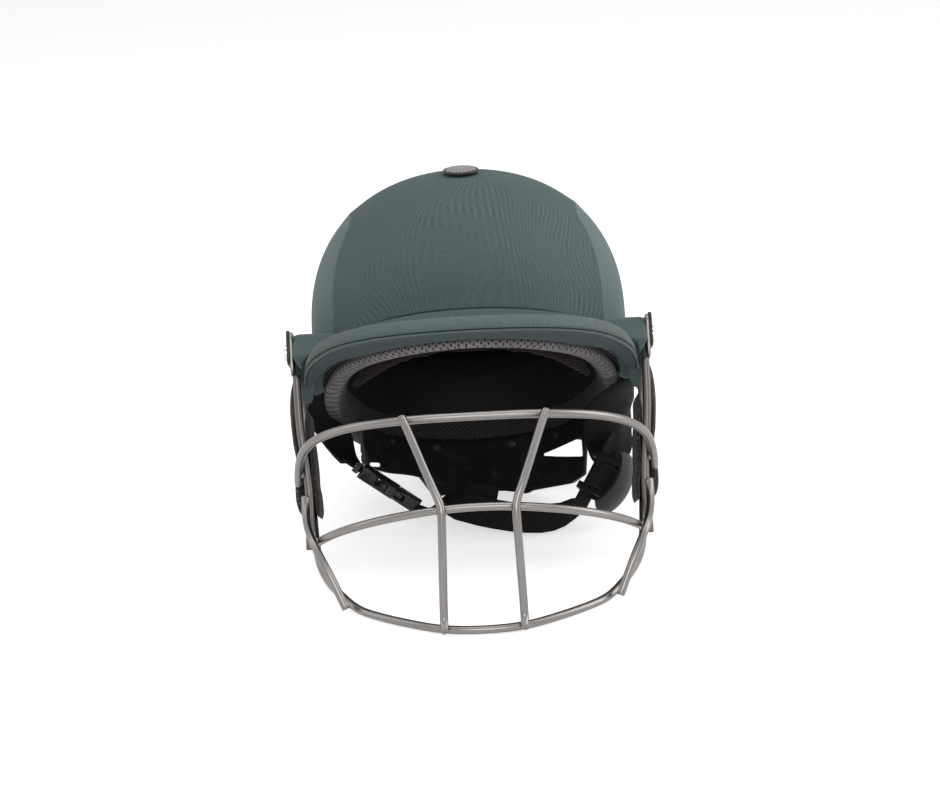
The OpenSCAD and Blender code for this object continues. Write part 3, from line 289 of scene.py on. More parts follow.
tones = {
    "middleCloth": (clothLook, {"colour": (0.094, 0.131, 0.131), "pitch": 0.0012, "ripple": 0.0033,
                                "wander": 0.085, "contrast": 0.38, "twill": 0.1, "sheen": 0.04}),
    # painted light: a lighter copy of the dome cloth for the side panels, standing in for the side lamps' light
    "sideCloth": (clothLook, {"colour": (0.13, 0.178, 0.177), "pitch": 0.0012, "ripple": 0.003,
                              "wander": 0.05, "contrast": 0.1, "twill": 0.08, "sheen": 0.12}),
    "bandCloth": (clothLook, {"colour": (0.128, 0.177, 0.175), "pitch": 0.0014, "ripple": 0.0015,
                              "wander": 0.004, "contrast": 0.12, "twill": 0.3, "sheen": 0.06,
                              "grey": (0.15, 0.162, 0.158), "faded": (0.06, 0.098)}),
    "flareCloth": (clothLook, {"colour": (0.096, 0.134, 0.134), "pitch": 0.0012, "ripple": 0.0033,
                               "wander": 0.01, "contrast": 0.06, "twill": 0.14, "sheen": 0.06}),
    # painted shade: a darker copy of the dome cloth for the peak's top, against the top lamp's light
    "peakCloth": (clothLook, {"colour": (0.08, 0.112, 0.112), "pitch": 0.0012, "ripple": 0.0033,
                              "wander": 0.02, "contrast": 0.15, "twill": 0.14, "sheen": 0.0}),
    "underCloth": (clothLook, {"colour": (0.08, 0.11, 0.112), "pitch": 0.0013, "ripple": 0.0018,
                               "wander": 0.004, "contrast": 0.12, "twill": 0.22, "sheen": 0.04}),
    "thread": (clothLook, {"colour": (0.022, 0.03, 0.03), "pitch": 0.0008, "ripple": 0.0009,
                           "wander": 0.001, "contrast": 0.2, "twill": 0.3, "sheen": 0.05}),
    # the spacer mesh's back and inside spans set where its painted shade falls
    "spacerMesh": (meshLook, {"colour": (0.27, 0.25, 0.255), "hole": (0.045, 0.041, 0.042),
                              "pitch": 0.0023, "darkBack": (-0.02, 0.03), "darkInside": (0.865, 0.825)}),
    "browCloth": (ribbedLook, {"colour": (0.021, 0.016, 0.014), "pitch": 0.0014, "across": "up",
                               "rough": 0.75, "sheen": 0.06, "shine": 0.2, "depth": 0.0004}),
    "padCloth": (speckLook, {"colour": (0.014, 0.0125, 0.012), "speck": (0.034, 0.031, 0.029),
                             "fleck": 420}),
    "satin": (ribbedLook, {"colour": (0.0105, 0.0098, 0.009), "pitch": 0.0013, "across": "run",
                           "rough": 0.62, "sheen": 0.0, "shine": 0.1, "depth": 0.0002}),
    "webbing": (ribbedLook, {"colour": (0.012, 0.011, 0.0105), "pitch": 0.0016, "across": "run",
                             "rough": 0.75, "sheen": 0.0, "shine": 0.1, "depth": 0.0005}),
    "greyWebbing": (ribbedLook, {"colour": (0.1, 0.1, 0.102), "pitch": 0.0018, "across": "up",
                                 "rough": 0.7, "sheen": 0.1, "shine": 0.2, "depth": 0.0004}),
    "blackFoam": (foamLook, {"colour": (0.01, 0.01, 0.01)}),
    "sideFoam": (speckLook, {"colour": (0.062, 0.054, 0.052), "speck": (0.2, 0.19, 0.18), "fleck": 330}),
    "stripFoam": (speckLook, {"colour": (0.034, 0.03, 0.029), "speck": (0.14, 0.13, 0.125), "fleck": 330}),
    "barSteel": (metalLook, {"colour": (0.225, 0.213, 0.205), "dull": (0.11, 0.105, 0.1), "rough": 0.3,
                             "streak": (1, 1, 0.25)}),
    # painted shade: a darker copy of the bar steel for the side frames
    "frameSteel": (metalLook, {"colour": (0.125, 0.117, 0.112), "dull": (0.055, 0.052, 0.05),
                               "rough": 0.34, "streak": (1, 1, 0.25)}),
    "weldSteel": (metalLook, {"colour": (0.22, 0.21, 0.2), "dull": (0.09, 0.085, 0.08), "rough": 0.42,
                              "streak": (1, 1, 1)}),
    "plateSteel": (metalLook, {"colour": (0.21, 0.195, 0.185), "dull": (0.09, 0.085, 0.08), "rough": 0.34,
                               "streak": (1, 0.2, 1)}),
    "screwChrome": (metalLook, {"colour": (0.68, 0.68, 0.67), "dull": (0.3, 0.3, 0.3), "rough": 0.2,
                                "streak": (1, 1, 1)}),
    "brass": (metalLook, {"colour": (0.62, 0.46, 0.2), "dull": (0.3, 0.2, 0.1), "rough": 0.35,
                          "streak": (1, 1, 1)}),
    "clampPlastic": (plasticLook, {"colour": (0.02, 0.019, 0.019), "worn": (0.07, 0.065, 0.06),
                                   "rough": 0.45, "grain": 900, "depth": 0.00008}),
    "shellPlastic": (plasticLook, {"colour": (0.03, 0.036, 0.036), "worn": (0.08, 0.09, 0.09),
                                   "rough": 0.5, "grain": 700, "depth": 0.0001}),
    "boardPlastic": (plasticLook, {"colour": (0.45, 0.45, 0.43), "worn": (0.5, 0.5, 0.48), "rough": 0.55,
                                   "grain": 700, "depth": 0.0001}),
    "buckleNylon": (plasticLook, {"colour": (0.016, 0.016, 0.018), "worn": (0.06, 0.06, 0.065),
                                  "rough": 0.38, "grain": 800, "depth": 0.00006}),
    "cupGloss": (plasticLook, {"colour": (0.006, 0.0055, 0.006), "worn": (0.02, 0.02, 0.02), "rough": 0.5,
                               "grain": 300, "depth": 0.00004}),
    "buttonCloth": (ribbedLook, {"colour": (0.34, 0.322, 0.325), "pitch": 0.0018, "across": "round",
                                 "rough": 0.7, "sheen": 0.1, "shine": 0.3, "depth": 0.0002}),
}
looks = {name: make(name, tone) for name, (make, tone) in tones.items()}
print("looks made:", len(looks))


# ---- modelling ----
def alone(obj):
    bpy.ops.object.select_all(action="DESELECT")
    bpy.context.view_layer.objects.active = obj
    obj.select_set(True)


def inEdit(obj, *steps):
    alone(obj)
    bpy.ops.object.mode_set(mode="EDIT")
    bpy.ops.mesh.select_all(action="SELECT")
    for step in steps:
        step()
    bpy.ops.object.mode_set(mode="OBJECT")
    return obj


def apply(obj, kind, **settings):
    alone(obj)
    m = obj.modifiers.new(kind, kind)
    for key, value in settings.items():
        setattr(m, key, value)
    bpy.ops.object.modifier_apply(modifier=m.name)
    return obj


def copyOf(node, name):  # a merged copy of a solid, its triangles paired into quads
    obj = bpy.data.objects.new(name, cad[node].data.copy())
    bpy.context.scene.collection.objects.link(obj)
    obj.data.materials.clear()
    return inEdit(obj, lambda: bpy.ops.mesh.remove_doubles(threshold=0.00001),
                  lambda: bpy.ops.mesh.tris_convert_to_quads(face_threshold=math.radians(50),
                                                             shape_threshold=math.radians(60)))


def measureRun(obj, nearPoint):  # distance along a strip from its end nearest a point, kept for the shader
    mesh = obj.data
    near = {v.index: [] for v in mesh.vertices}
    for e in mesh.edges:
        a, b = e.vertices
        d = (mesh.vertices[a].co - mesh.vertices[b].co).length
        near[a].append((b, d))
        near[b].append((a, d))
    first = min(mesh.vertices, key=lambda v: (v.co - Vector(nearPoint)).length)
    corners = [v.index for v in mesh.vertices
               if len(near[v.index]) == 3 and (v.co - first.co).length < straps["width"] * 1.5]
    far = {i: 0.0 for i in corners or [first.index]}
    edge = list(far)
    while edge:
        nextEdge = []
        for a in edge:
            for b, d in near[a]:
                if b not in far or far[a] + d < far[b]:
                    far[b] = far[a] + d
                    nextEdge.append(b)
        edge = nextEdge
    run = mesh.attributes.new("run", "FLOAT", "POINT")
    for i, d in far.items():
        run.data[i].value = d


def keepEdges(obj, sharp=50, hold=1.0):  # creases the edges sharper than an angle
    inEdit(obj, lambda: bpy.ops.mesh.select_all(action="DESELECT"),
           lambda: bpy.ops.mesh.edges_select_sharp(sharpness=math.radians(sharp)))
    crease = obj.data.attributes.new("crease_edge", "FLOAT", "EDGE")
    for e in obj.data.edges:
        crease.data[e.index].value = hold if e.select else 0.0
    return obj


def camel(node):  # side_bar_left to sideBarLeft
    first, *others = node.split("_")
    return first + "".join(word.title() for word in others)


def rounded(obj, levels=2):
    return apply(obj, "SUBSURF", levels=levels, render_levels=levels)


def bevelled(obj, width, steps, angle):  # edges sharper than the angle broken by a small radius
    return apply(obj, "BEVEL", width=width, segments=steps, limit_method="ANGLE",
                 angle_limit=math.radians(angle))


def dress(obj, body, lookName, nodes=(), angle=40):
    obj.data.materials.clear()
    obj.data.materials.append(looks[lookName])
    alone(obj)
    bpy.ops.object.shade_smooth_by_angle(angle=math.radians(angle))
    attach(obj, body)
    if nodes:
        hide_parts(*nodes)
    return obj


def skin(node, name, lookName, sharp=50, hold=1.0, levels=2, angle=40, grow=0.0, runFrom=None):
    obj = copyOf(node, name)  # the solid's copy, rounded but for its creased edges
    if runFrom:
        measureRun(obj, runFrom)
    rounded(keepEdges(obj, sharp, hold), levels)
    if grow:
        inEdit(obj, lambda: bpy.ops.transform.shrink_fatten(value=grow))
    return dress(obj, bodyOf[node], lookName, (node,), angle)


def tube(name, points, radius, body, lookName, sides=2):  # a round thread or piping along a line
    curve = bpy.data.curves.new(name, "CURVE")
    curve.dimensions, curve.bevel_depth, curve.bevel_resolution, curve.use_fill_caps = "3D", radius, sides, True
    line = curve.splines.new("POLY")
    line.points.add(len(points) - 1)
    for spot, p in zip(line.points, points):
        spot.co = (*p, 1)
    obj = bpy.data.objects.new(name, curve)
    bpy.context.scene.collection.objects.link(obj)
    alone(obj)
    bpy.ops.object.convert(target="MESH")
    return dress(bpy.context.view_layer.objects.active, body, lookName, angle=70)


def stitchRow(name, points, stitch, body, lookName):  # one stitch, copied along a line
    bpy.ops.object.select_all(action="DESELECT")
    bpy.ops.mesh.primitive_uv_sphere_add(segments=8, ring_count=6, radius=stitch["size"])
    first = bpy.context.active_object
    inEdit(first, lambda: bpy.ops.transform.resize(value=(stitch["length"] / stitch["size"] / 2, 1, 0.8)))
    walked, wanted, spots = 0.0, stitch["pitch"] / 2, []
    for a, b in zip(points, points[1:]):
        step = (b - a).length
        while walked + step >= wanted:
            spots.append((a.lerp(b, (wanted - walked) / step), (b - a).normalized()))
            wanted += stitch["pitch"]
        walked += step
    made = []
    for spot, way in spots:
        one = first.copy()
        one.data = first.data.copy()
        bpy.context.scene.collection.objects.link(one)
        one.data.transform(Matrix.Translation(spot) @ way.to_track_quat("X", "Z").to_matrix().to_4x4())
        made.append(one)
    bpy.data.objects.remove(first)
    bpy.ops.object.select_all(action="DESELECT")
    for one in made:
        one.select_set(True)
    bpy.context.view_layer.objects.active = made[0]
    bpy.ops.object.join()
    made[0].name = name
    return dress(made[0], body, lookName, angle=70)


puff = {"frames": 20, "quality": 5}


def stuffed(node, name, lookName, pad):  # a pad blown up by cloth pressure, within a cap
    obj = copyOf(node, name)
    apply(obj, "REMESH", mode="VOXEL", voxel_size=pad["voxel"])
    inEdit(obj, lambda: bpy.ops.transform.shrink_fatten(value=-pad["shrink"]))
    start = [v.co.copy() for v in obj.data.vertices]
    alone(obj)
    cloth = obj.modifiers.new("Cloth", "CLOTH")
    cloth.settings.use_pressure = True
    cloth.settings.uniform_pressure_force = pad["pressure"]
    cloth.settings.effector_weights.gravity = 0
    cloth.settings.quality = puff["quality"]
    for f in range(1, puff["frames"] + 1):
        bpy.context.scene.frame_set(f)
    bpy.ops.object.modifier_apply(modifier="Cloth")
    bpy.context.scene.frame_set(1)
    for v, p in zip(obj.data.vertices, start):
        move = v.co - p
        if move.length > pad["cap"]:
            v.co = p + move.normalized() * pad["cap"]
    apply(obj, "SMOOTH", iterations=pad["smooth"], factor=0.5)
    rounded(obj, 1)
    dress(obj, bodyOf[node], lookName, (node,), 60)


def along(points, t):  # a point on a smooth line through points in millimetres, t from 0 to 1
    at = t * (len(points) - 1)
    i = min(int(at), len(points) - 2)
    f = at - i
    p = [Vector(points[max(0, min(len(points) - 1, j))]) * 0.001 for j in range(i - 1, i + 3)]
    return 0.5 * (2 * p[1] + (p[2] - p[0]) * f + (2 * p[0] - 5 * p[1] + 4 * p[2] - p[3]) * f * f
                  + (3 * p[1] - p[0] - 3 * p[2] + p[3]) * f ** 3)


def sheet(name, front, rear, out, cut):  # cloth spanned between two lines, thickened
    bpy.ops.object.select_all(action="DESELECT")
    bpy.ops.mesh.primitive_grid_add(x_subdivisions=cut["columns"], y_subdivisions=cut["rows"], size=2)
    obj = bpy.context.active_object
    obj.name = name
    run = obj.data.attributes.new("run", "FLOAT", "POINT")
    for v in obj.data.vertices:
        side, t = (v.co.x + 1) / 2, (1 - v.co.y) / 2
        a, b = along(front, t), along(rear, t)
        lift = cut["bulge"] + cut["fold"] * math.sin(side * 9 + t * 5)
        v.co = a.lerp(b, side) + out * lift * math.sin(math.pi * side)
        run.data[v.index].value = side * (a - b).length
    apply(obj, "SOLIDIFY", thickness=cut["thick"], offset=0)
    inEdit(obj, lambda: bpy.ops.mesh.normals_make_consistent(inside=False))
    return rounded(obj, 1)


# ---- dome ----
domeCover = {"threadSize": 0.00042, "seamDepth": 0.0003, "seamSteps": 90, "seamFront": -8, "seamBack": -18,
             "seamDrop": 0.4}
skin("cover_center_panel", "domeMiddlePanel", "middleCloth", 60)
# the side panels take the lighter copy of the dome cloth, with painted light
skin("cover_left_panel", "domeLeftPanel", "sideCloth", 60)
skin("cover_right_panel", "domeRightPanel", "sideCloth", 60)


def seamLine(side):  # up the front edge of a side panel, over its arch and down the back
    arch, half = [], 90 - dome["seamAngle"]
    for i in range(domeCover["seamSteps"] + 1):
        x = -math.cos(math.pi * i / domeCover["seamSteps"])
        up = dome["seamCorner"] + dome["seamArch"] * math.sqrt(max(0, 1 - x * x)) - domeCover["seamDrop"]
        arch.append((90 + half * x, up))
    front = [(dome["seamAngle"], f) for f in range(domeCover["seamFront"], dome["seamCorner"])]
    back = [(180 - dome["seamAngle"], f) for f in range(dome["seamCorner"] - 1, domeCover["seamBack"] - 1, -1)]
    return [domePoint(side * a, f, domeCover["seamDepth"]) for a, f in front + arch + back]


for side, word in ((-1, "Left"), (1, "Right")):
    tube("seamThread" + word, seamLine(side), domeCover["threadSize"], "helmet", "sideCloth")
skin("outer_shell", "shell", "shellPlastic", 50, 1.0, 1)
print("dome covered")

# ---- peak ----
peakTrim = {"steps": 120, "cord": {"share": 0.99, "inward": 0.0005, "down": 0.0078, "size": 0.0004},
            "stitch": {"share": 0.98, "inward": -0.0001, "down": 0.0066, "pitch": 0.0032, "length": 0.0022,
                       "size": 0.00032}}
peakTaper = {"from": 60, "most": 0.72, "underMost": 0.54, "inward": 0.003, "down": 0.002}


def tapered(obj, most=peakTaper["most"]):  # draws the peak's section in towards its two ends
    for v in obj.data.vertices:
        w = worn(v.co)
        turn = math.degrees(math.atan2(w.x / peak["halfWidth"], -(w.y + peak["rootY"]) / peak["reach"]))
        turn = max(-peak["turnEnd"], min(peak["turnEnd"], turn))
        f = (abs(turn) - peakTaper["from"]) / (peak["turnEnd"] - peakTaper["from"])
        if f > 0:
            f = most * f * f * (3 - 2 * f)
            v.co = v.co.lerp(peakPoint(turn, peakTaper["inward"], peakTaper["down"]), f)


def edgeLine(trim):  # along the peak's rolled edge, from one end to the other
    turns = [peak["turnEnd"] * (2 * i / peakTrim["steps"] - 1) for i in range(peakTrim["steps"] + 1)]
    return [peakPoint(turn * trim["share"], trim["inward"], trim["down"]) for turn in turns]


# the peak's top takes the darker cloth copy, with painted shade
tapered(skin("peak_cover", "peakTop", "peakCloth", 50, 0.7))
tapered(skin("peak_edge_band", "peakBand", "bandCloth", 70, 1.0, 3, 60, 0.0004))
tapered(skin("peak_underside", "peakUnder", "underCloth", 50, 0.8), peakTaper["underMost"])
tapered(skin("peak_board", "peakBoard", "boardPlastic", 50, 1.0, 1))
cord, stitch = peakTrim["cord"], peakTrim["stitch"]
tapered(tube("bandSeam", edgeLine(cord), cord["size"], "helmet", "thread"))
tapered(stitchRow("bandStitches", edgeLine(stitch), stitch, "helmet", "sideCloth"))
rootTrim = {"end": 66, "steps": 150, "up": 0.0006, "wave": 0.00035, "waveLength": 3.1, "thread": 0.0003,
            "shift": (0, -0.0007, 0.0011), "pitch": 0.0029, "length": 0.0016, "size": 0.00022}
rootLine = [peakRoot(rootTrim["end"] * (2 * i / rootTrim["steps"] - 1),
                     rootTrim["up"] + rootTrim["wave"] * math.sin(i * rootTrim["waveLength"]))
            for i in range(rootTrim["steps"] + 1)]
tube("rootSeam", rootLine, rootTrim["thread"], "helmet", "thread")
stitchRow("rootStitches", [p + Vector(rootTrim["shift"]) for p in rootLine], rootTrim, "helmet", "underCloth")
print("peak covered")

# ---- temples ----
flare = {"voxel": 0.0011, "smooth": 8}
plates = {"mount": {"bevel": 0.0003, "steps": 2, "look": "plateSteel"},
          "clamp": {"bevel": 0.0005, "steps": 3, "look": "clampPlastic"}}
for word in ("left", "right"):
    obj = apply(copyOf("temple_flare_" + word, "flare" + word.title()), "REMESH", mode="VOXEL",
                voxel_size=flare["voxel"])
    apply(obj, "SMOOTH", iterations=flare["smooth"], factor=0.5)
    dress(obj, "helmet", "flareCloth", ("temple_flare_" + word,), 60)
    for kind, plate in plates.items():
        node = kind + "_plate_" + word
        obj = bevelled(copyOf(node, kind + "Plate" + word.title()), plate["bevel"], plate["steps"], 40)
        dress(obj, bodyOf[node], plate["look"], (node,), 30)
skirt = {"outer": [(114, -35, 146), (114, -34, 136), (113.6, -31, 127), (112.6, -29, 119), (110.8, -27, 111),
                   (108.6, -24, 104)],
         "inner": [(102, -16, 146), (101.5, -18, 136), (102, -20, 128), (103, -22, 121), (104.4, -22, 113),
                   (106, -22, 106)],
         "rows": 20, "columns": 10, "thick": 0.0012, "bulge": 0.0022, "fold": 0}
for side, word in ((-1, "Left"), (1, "Right")):  # the cloth drawn down from the temple to the peak's end
    outer, inner = ([(side * x, y, z) for x, y, z in skirt[edge]] for edge in ("outer", "inner"))
    obj = sheet("flareSkirt" + word, outer, inner, Vector((side, -1, 0)).normalized(), skirt)
    dress(obj, "helmet", "flareCloth", angle=60)
for node, lookName in (("pivot_screws", "screwChrome"), ("adjuster_screws", "screwChrome"),
                       ("insert_nuts", "brass")):
    cad[node].data.materials.clear()
    cad[node].data.materials.append(looks[lookName])
print("temples fitted")

# ---- button ----
button = {"lean": 24, "steps": 120, "rings": 34, "capReach": 0.0099, "capLow": 0.0024, "capCrown": 0.0008,
          "barFrom": 0.0022, "barReach": 0.0097, "rib": 0.0017, "high": 0.00045,
          "ring": [(0, 0.1), (11.2, 0.1), (11.8, 0.4), (12, 1.0), (11.9, 1.7), (11.5, 2.2), (11, 2.3),
                   (10.5, 2.1), (10.2, 1.5), (10.2, 1.2), (0, 1.2)],
          "capUnder": [(10.1, 2.1), (10.1, 1.35), (0, 1.35)]}


def turned(name, profile):  # an outline spun round the up axis
    obj = bpy.data.objects.new(name, bpy.data.meshes.new(name))
    bpy.context.scene.collection.objects.link(obj)
    obj.data.from_pydata([(r, 0, z) for r, z in profile], [(i, i + 1) for i in range(len(profile) - 1)], [])
    inEdit(obj, lambda: bpy.ops.mesh.spin(steps=button["steps"], angle=2 * math.pi, center=(0, 0, 0),
                                          axis=(0, 0, 1)),
           lambda: bpy.ops.mesh.select_all(action="SELECT"),
           lambda: bpy.ops.mesh.remove_doubles(threshold=0.00002),
           lambda: bpy.ops.mesh.normals_make_consistent(inside=False))
    return obj


def onCrown(obj):  # moves a piece onto the dome's highest point as it leans
    n = dome["full"]
    t = math.tan(math.radians(button["lean"])) * dome["halfLength"] / dome["rise"]
    f = math.degrees(math.atan(1 / t ** (n / (2 * n - 2))))
    obj.data.transform(Matrix.Translation(domePoint(0, f)))
    return obj


base = turned("buttonRing", [(r * 0.001, z * 0.001) for r, z in button["ring"]])
dress(onCrown(base), "helmet", "buckleNylon", ("button_base",), 50)
domed = [(button["capReach"] * i / button["rings"],
          button["capLow"] + button["capCrown"] * math.cos(math.pi / 2 * i / button["rings"]))
         for i in range(button["rings"] + 1)]
cap = turned("buttonCap", domed + [(r * 0.001, z * 0.001) for r, z in button["capUnder"]])
for v in cap.data.vertices:  # short raised bars in rings, staggered from ring to ring
    d, a = math.hypot(v.co.x, v.co.y), math.atan2(v.co.y, v.co.x)
    if v.co.z > button["barFrom"] and d < button["barReach"]:
        ring = int(d / button["rib"])
        bar = math.cos(2 * math.pi * (d / button["rib"] - 0.5)) * 0.5 + 0.5
        cut = math.cos(a * max(3, 5 * ring) + ring * 1.7)
        v.co.z += button["high"] * bar * min(1, max(0, 2.2 + 3 * cut))
dress(onCrown(cap), "helmet", "buttonCloth", ("button_cap",), 50)
print("button set")

# ---- lining ----
lining = {"brow": {"voxel": 0.004, "shrink": 0.0012, "pressure": 4, "cap": 0.003, "smooth": 2, "fill": 0.7},
          "rear": {"voxel": 0.004, "shrink": 0.0012, "pressure": 4, "cap": 0.003, "smooth": 2, "fill": 0.8},
          "crown": {"voxel": 0.005, "shrink": 0.0012, "pressure": 4, "cap": 0.003, "smooth": 3, "fill": 0.7}}
skin("foam_liner", "foamLiner", "blackFoam", 50, 1.0, 1)
skin("rim_band", "meshBand", "spacerMesh", 80, 0.5, 2, 60, 0.0003)
skin("liner_ribs", "linerRibs", "padCloth", 60, 0.3)
stuffed("forehead_pad", "browPad", "browCloth", lining["brow"])
stuffed("rear_pad", "rearPad", "padCloth", lining["rear"])
stuffed("crown_pad", "crownPad", "padCloth", lining["crown"])
print("lining made")

# ---- nape and straps ----
skin("nape_cradle", "napeCradle", "buckleNylon", 55, 0.9, 1)
skin("cradle_rivets", "cradleRivets", "buckleNylon", 50, 0.9, 1)
straps = {"width": 0.02, "start": (-0.0595, 0.0078, 0.0315), "bevel": 0.00025, "steps": 2}
flaps = {"left": {"out": (-1, -0.6, 0),
                  "front": [(-99, -6, 120), (-105, -2, 108), (-110, 4, 98), (-111, 8, 88), (-108.6, 11, 77),
                            (-103.8, 13, 67), (-98.5, 12, 59.5), (-91, 13.5, 51)],
                  "rear": [(-97, 48, 77), (-92, 49, 73), (-89, 50, 67), (-87, 49, 61), (-85, 46, 55),
                           (-84, 41, 50), (-82.5, 33, 47), (-80, 23, 46.5)]},
         "right": {"out": (1, -0.6, 0),
                   "front": [(100, -6, 120), (106, -2, 107), (98, 1, 101), (87, 5, 93), (78, 8, 84),
                             (75.5, 10, 73), (75.2, 12, 61), (77.5, 14, 49.5), (80.5, 16, 41.5), (86, 17, 37)],
                   "rear": [(97, 48, 77), (106, 46, 72), (107.5, 43, 68), (108.5, 40, 64), (108.5, 37, 59.5),
                            (108, 32, 54), (108, 28, 48), (106, 25, 42), (101, 22, 36), (94, 20, 34)]}}
flapCloth = {"rows": 40, "columns": 16, "thick": 0.0022, "bulge": 0.0045, "fold": 0.0009, "fill": 0.3,
             "piping": 0.0007, "edgeSteps": 40, "endSteps": 8}
for word, shape in flaps.items():
    front, rear, sides, across = shape["front"], shape["rear"], flapCloth["edgeSteps"], flapCloth["endSteps"]
    obj = sheet("earFlap" + word.title(), front, rear, Vector(shape["out"]).normalized(), flapCloth)
    dress(obj, "helmet", "satin", ("ear_flap_" + word,), 60)
    edge = [along(front, i / sides) for i in range(sides + 1)]
    edge += [along([front[-1], rear[-1]], i / across) for i in range(1, across)]
    edge += [along(rear, 1 - i / sides) for i in range(sides + 1)]
    tube("flapEdge" + word.title(), edge, flapCloth["piping"], "helmet", "satin", 3)
cupPad = {"middle": (0.0885, -0.0015, 0.0330), "half": (0.0052, 0.0105, 0.0092), "run": (0.507, 0.405, 0.760),
          "face": (0.789, -0.574, -0.220), "square": 0.7, "fill": 0.7}
bpy.ops.object.select_all(action="DESELECT")
bpy.ops.mesh.primitive_uv_sphere_add(segments=48, ring_count=32, radius=1)
obj = bpy.context.active_object
obj.name = "chinCupPad"
run, face = Vector(cupPad["run"]), Vector(cupPad["face"])
axes = (face, run.cross(face).normalized(), run)
for v in obj.data.vertices:  # rounded block, thinner to its edges
    p = [math.copysign(abs(c) ** cupPad["square"], c) * h for c, h in zip(v.co, cupPad["half"])]
    v.co = Vector(cupPad["middle"]) + axes[0] * p[0] + axes[1] * p[1] + axes[2] * p[2]
inEdit(obj, lambda: bpy.ops.mesh.normals_make_consistent(inside=False))
dress(obj, bodyOf["chin_cup"], "padCloth", angle=60)
for node in ("ear_strap_left", "chin_strap", "strap_tail"):
    skin(node, camel(node), "webbing", 50, 1.0, 2, 40, 0, straps["start"])
skin("strap_keeper", "strapKeeper", "greyWebbing", 50, 0.7)
for node in ("buckle_socket", "buckle_plug", "prong_rear", "prong_front", "chin_cup"):
    obj = bevelled(copyOf(node, camel(node)), straps["bevel"], straps["steps"], 35)
    dress(obj, bodyOf[node], "cupGloss" if node == "chin_cup" else "buckleNylon", (node,), 35)
print("straps hung")

# ---- grille ----
wires = {"thicker": 0.10, "radius": {"top_bar": 0.0028}, "usual": 0.0026, "touch": 0.0008}
bead = {"size": 0.0021, "wide": 1.25, "high": 0.8, "lumps": 700, "lumpSize": 0.12, "spread": 90}
for node in ("top_bar", "mid_bar", "bottom_bar", "center_bar_left", "center_bar_right", "side_bar_left",
             "side_bar_right", "side_frame_left", "side_frame_right"):
    grow = wires["thicker"] * wires["radius"].get(node, wires["usual"])
    # the side frames take the darker steel copy, with painted shade
    skin(node, camel(node), "frameSteel" if "frame" in node else "barSteel", 80, 0.4, 2, 60, grow)
outerPad = {"voxel": 0.0032, "shrink": 0.0007, "pressure": 4, "cap": 0.0018, "smooth": 2, "fill": 0.8}
innerStrip = {"voxel": 0.0022, "shrink": 0.0003, "pressure": 3, "cap": 0.0008, "smooth": 1, "fill": 0.8}
for word in ("left", "right"):
    stuffed("outer_pad_" + word, "outerPad" + word.title(), "sideFoam", outerPad)
    stuffed("inner_strip_" + word, "innerStrip" + word.title(), "stripFoam", innerStrip)


def weld(first, second):  # a bead of weld where two wires touch
    tree = bvhtree.BVHTree.FromPolygons([v.co for v in cad[second].data.vertices],
                                        [p.vertices for p in cad[second].data.polygons])
    gap, spot, way = math.inf, None, None
    for v in cad[first].data.vertices:
        touch, facing, i, d = tree.find_nearest(v.co)
        if d < gap:
            gap, spot, way = d, (v.co + touch) / 2, facing
    if gap > wires["touch"]:
        return
    bpy.ops.object.select_all(action="DESELECT")
    bpy.ops.mesh.primitive_ico_sphere_add(subdivisions=4, radius=bead["size"])
    obj = bpy.context.active_object
    obj.name = "weld" + first.title().replace("_", "") + second.title().replace("_", "")
    for v in obj.data.vertices:
        lump = 1 + bead["lumpSize"] * noise.noise(v.co * bead["lumps"] + spot * bead["spread"])
        v.co = Vector((v.co.x * bead["wide"], v.co.y * bead["wide"], v.co.z * bead["high"])) * lump
    obj.data.transform(Matrix.Translation(spot) @ way.to_track_quat("Z", "Y").to_matrix().to_4x4())
    dress(obj, "grille", "weldSteel", angle=60)


for word in ("left", "right"):
    for bar in ("top_bar", "mid_bar", "bottom_bar"):
        weld(bar, "center_bar_" + word)
    for bar in ("mid_bar", "bottom_bar", "side_frame_" + word):
        weld(bar, "side_bar_" + word)
    weld("top_bar", "side_frame_" + word)
print("grille bent")

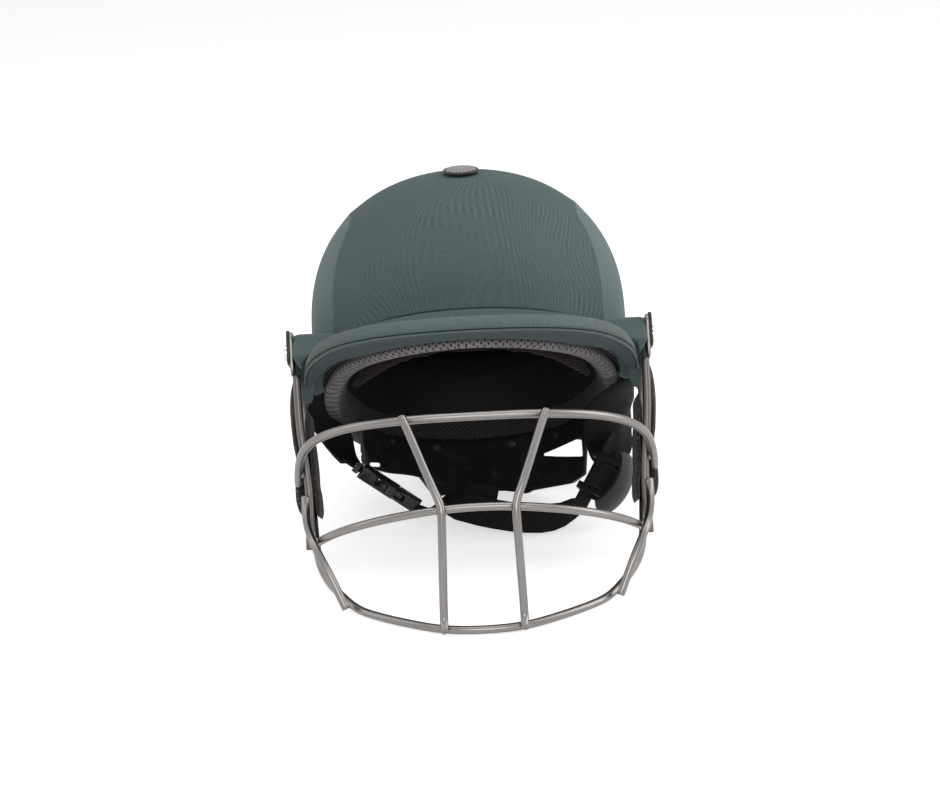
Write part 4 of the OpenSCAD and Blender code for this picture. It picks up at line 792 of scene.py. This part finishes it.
# ---- stage ----
studio = {"floorSize": 6, "floorDepth": 0.0002, "floorGlow": 0.6, "world": 0.3,
          "lamps": {"leftBox": {"at": (-1.5, -0.1, 0.9), "aim": (0, 0, 0.12), "size": (1.0, 1.4), "power": 4.5},
                    "rightBox": {"at": (1.5, -0.1, 0.9), "aim": (0, 0, 0.12), "size": (1.0, 1.4), "power": 12},
                    "topBox": {"at": (0, 0.1, 1.9), "aim": (0, 0, 0.1), "size": (1.6, 1.2), "power": 11},
                    "frontBox": {"at": (0.1, -2.2, 1.2), "aim": (0, 0, 0.1), "size": (1.2, 0.8), "power": 13}}}
bpy.ops.object.select_all(action="DESELECT")
bpy.ops.mesh.primitive_plane_add(size=studio["floorSize"], location=(0, 0, -studio["floorDepth"]))
floor = bpy.context.active_object
floor.name = "floor"
paper = look("paper", {"Base Color": (0.86, 0.86, 0.86), "Roughness": 0.9, "Emission Color": (1, 1, 1)})
paper.give("Emission Strength", paper.seen() * studio["floorGlow"])
floor.data.materials.append(paper.material)

world = bpy.data.worlds.new("room")
bpy.context.scene.world = world
world.use_nodes = True
sky, room = world.node_tree.nodes["Background"], graph(world.node_tree)
room.join(sky.inputs["Color"], (1, 1, 1))
level = room.node("ShaderNodeMapRange", {}, {"Value": room.seen(), "To Min": studio["world"], "To Max": 1.0})
room.join(sky.inputs["Strength"], level)
for name, box in studio["lamps"].items():
    lamp = bpy.data.lights.new(name, "AREA")
    lamp.shape, lamp.energy = "RECTANGLE", box["power"]
    lamp.size, lamp.size_y = box["size"]
    obj = bpy.data.objects.new(name, lamp)
    obj.location = box["at"]
    obj.rotation_euler = (Vector(box["aim"]) - Vector(box["at"])).to_track_quat("-Z", "Y").to_euler()
    bpy.context.scene.collection.objects.link(obj)

lens = {"eye": (-2.585, -1481.865, 566.498), "focus": 2255.64, "width": 940, "middleX": 468.4, "sensor": 36,
        "right": (0.99862953, -0.0161727, -0.04977445), "up": (0.05233596, 0.3085935, 0.94975313)}
view = bpy.data.cameras.new("camera")
camera = bpy.data.objects.new("camera", view)
bpy.context.scene.collection.objects.link(camera)
bpy.context.scene.camera = camera
right, upward = Vector(lens["right"]), Vector(lens["up"])
turn = Matrix((right, upward, right.cross(upward))).transposed().to_4x4()
camera.matrix_world = Matrix.Translation(Vector(lens["eye"]) * 0.001 + Vector((0, stand["back"], 0))) @ turn
view.sensor_width, view.lens = lens["sensor"], lens["sensor"] * lens["focus"] / lens["width"]
view.shift_x = (lens["width"] / 2 - lens["middleX"]) / lens["width"]
view.clip_start, view.clip_end = 0.05, 20
bpy.context.scene.view_settings.view_transform = "Standard"

print("scene ready")
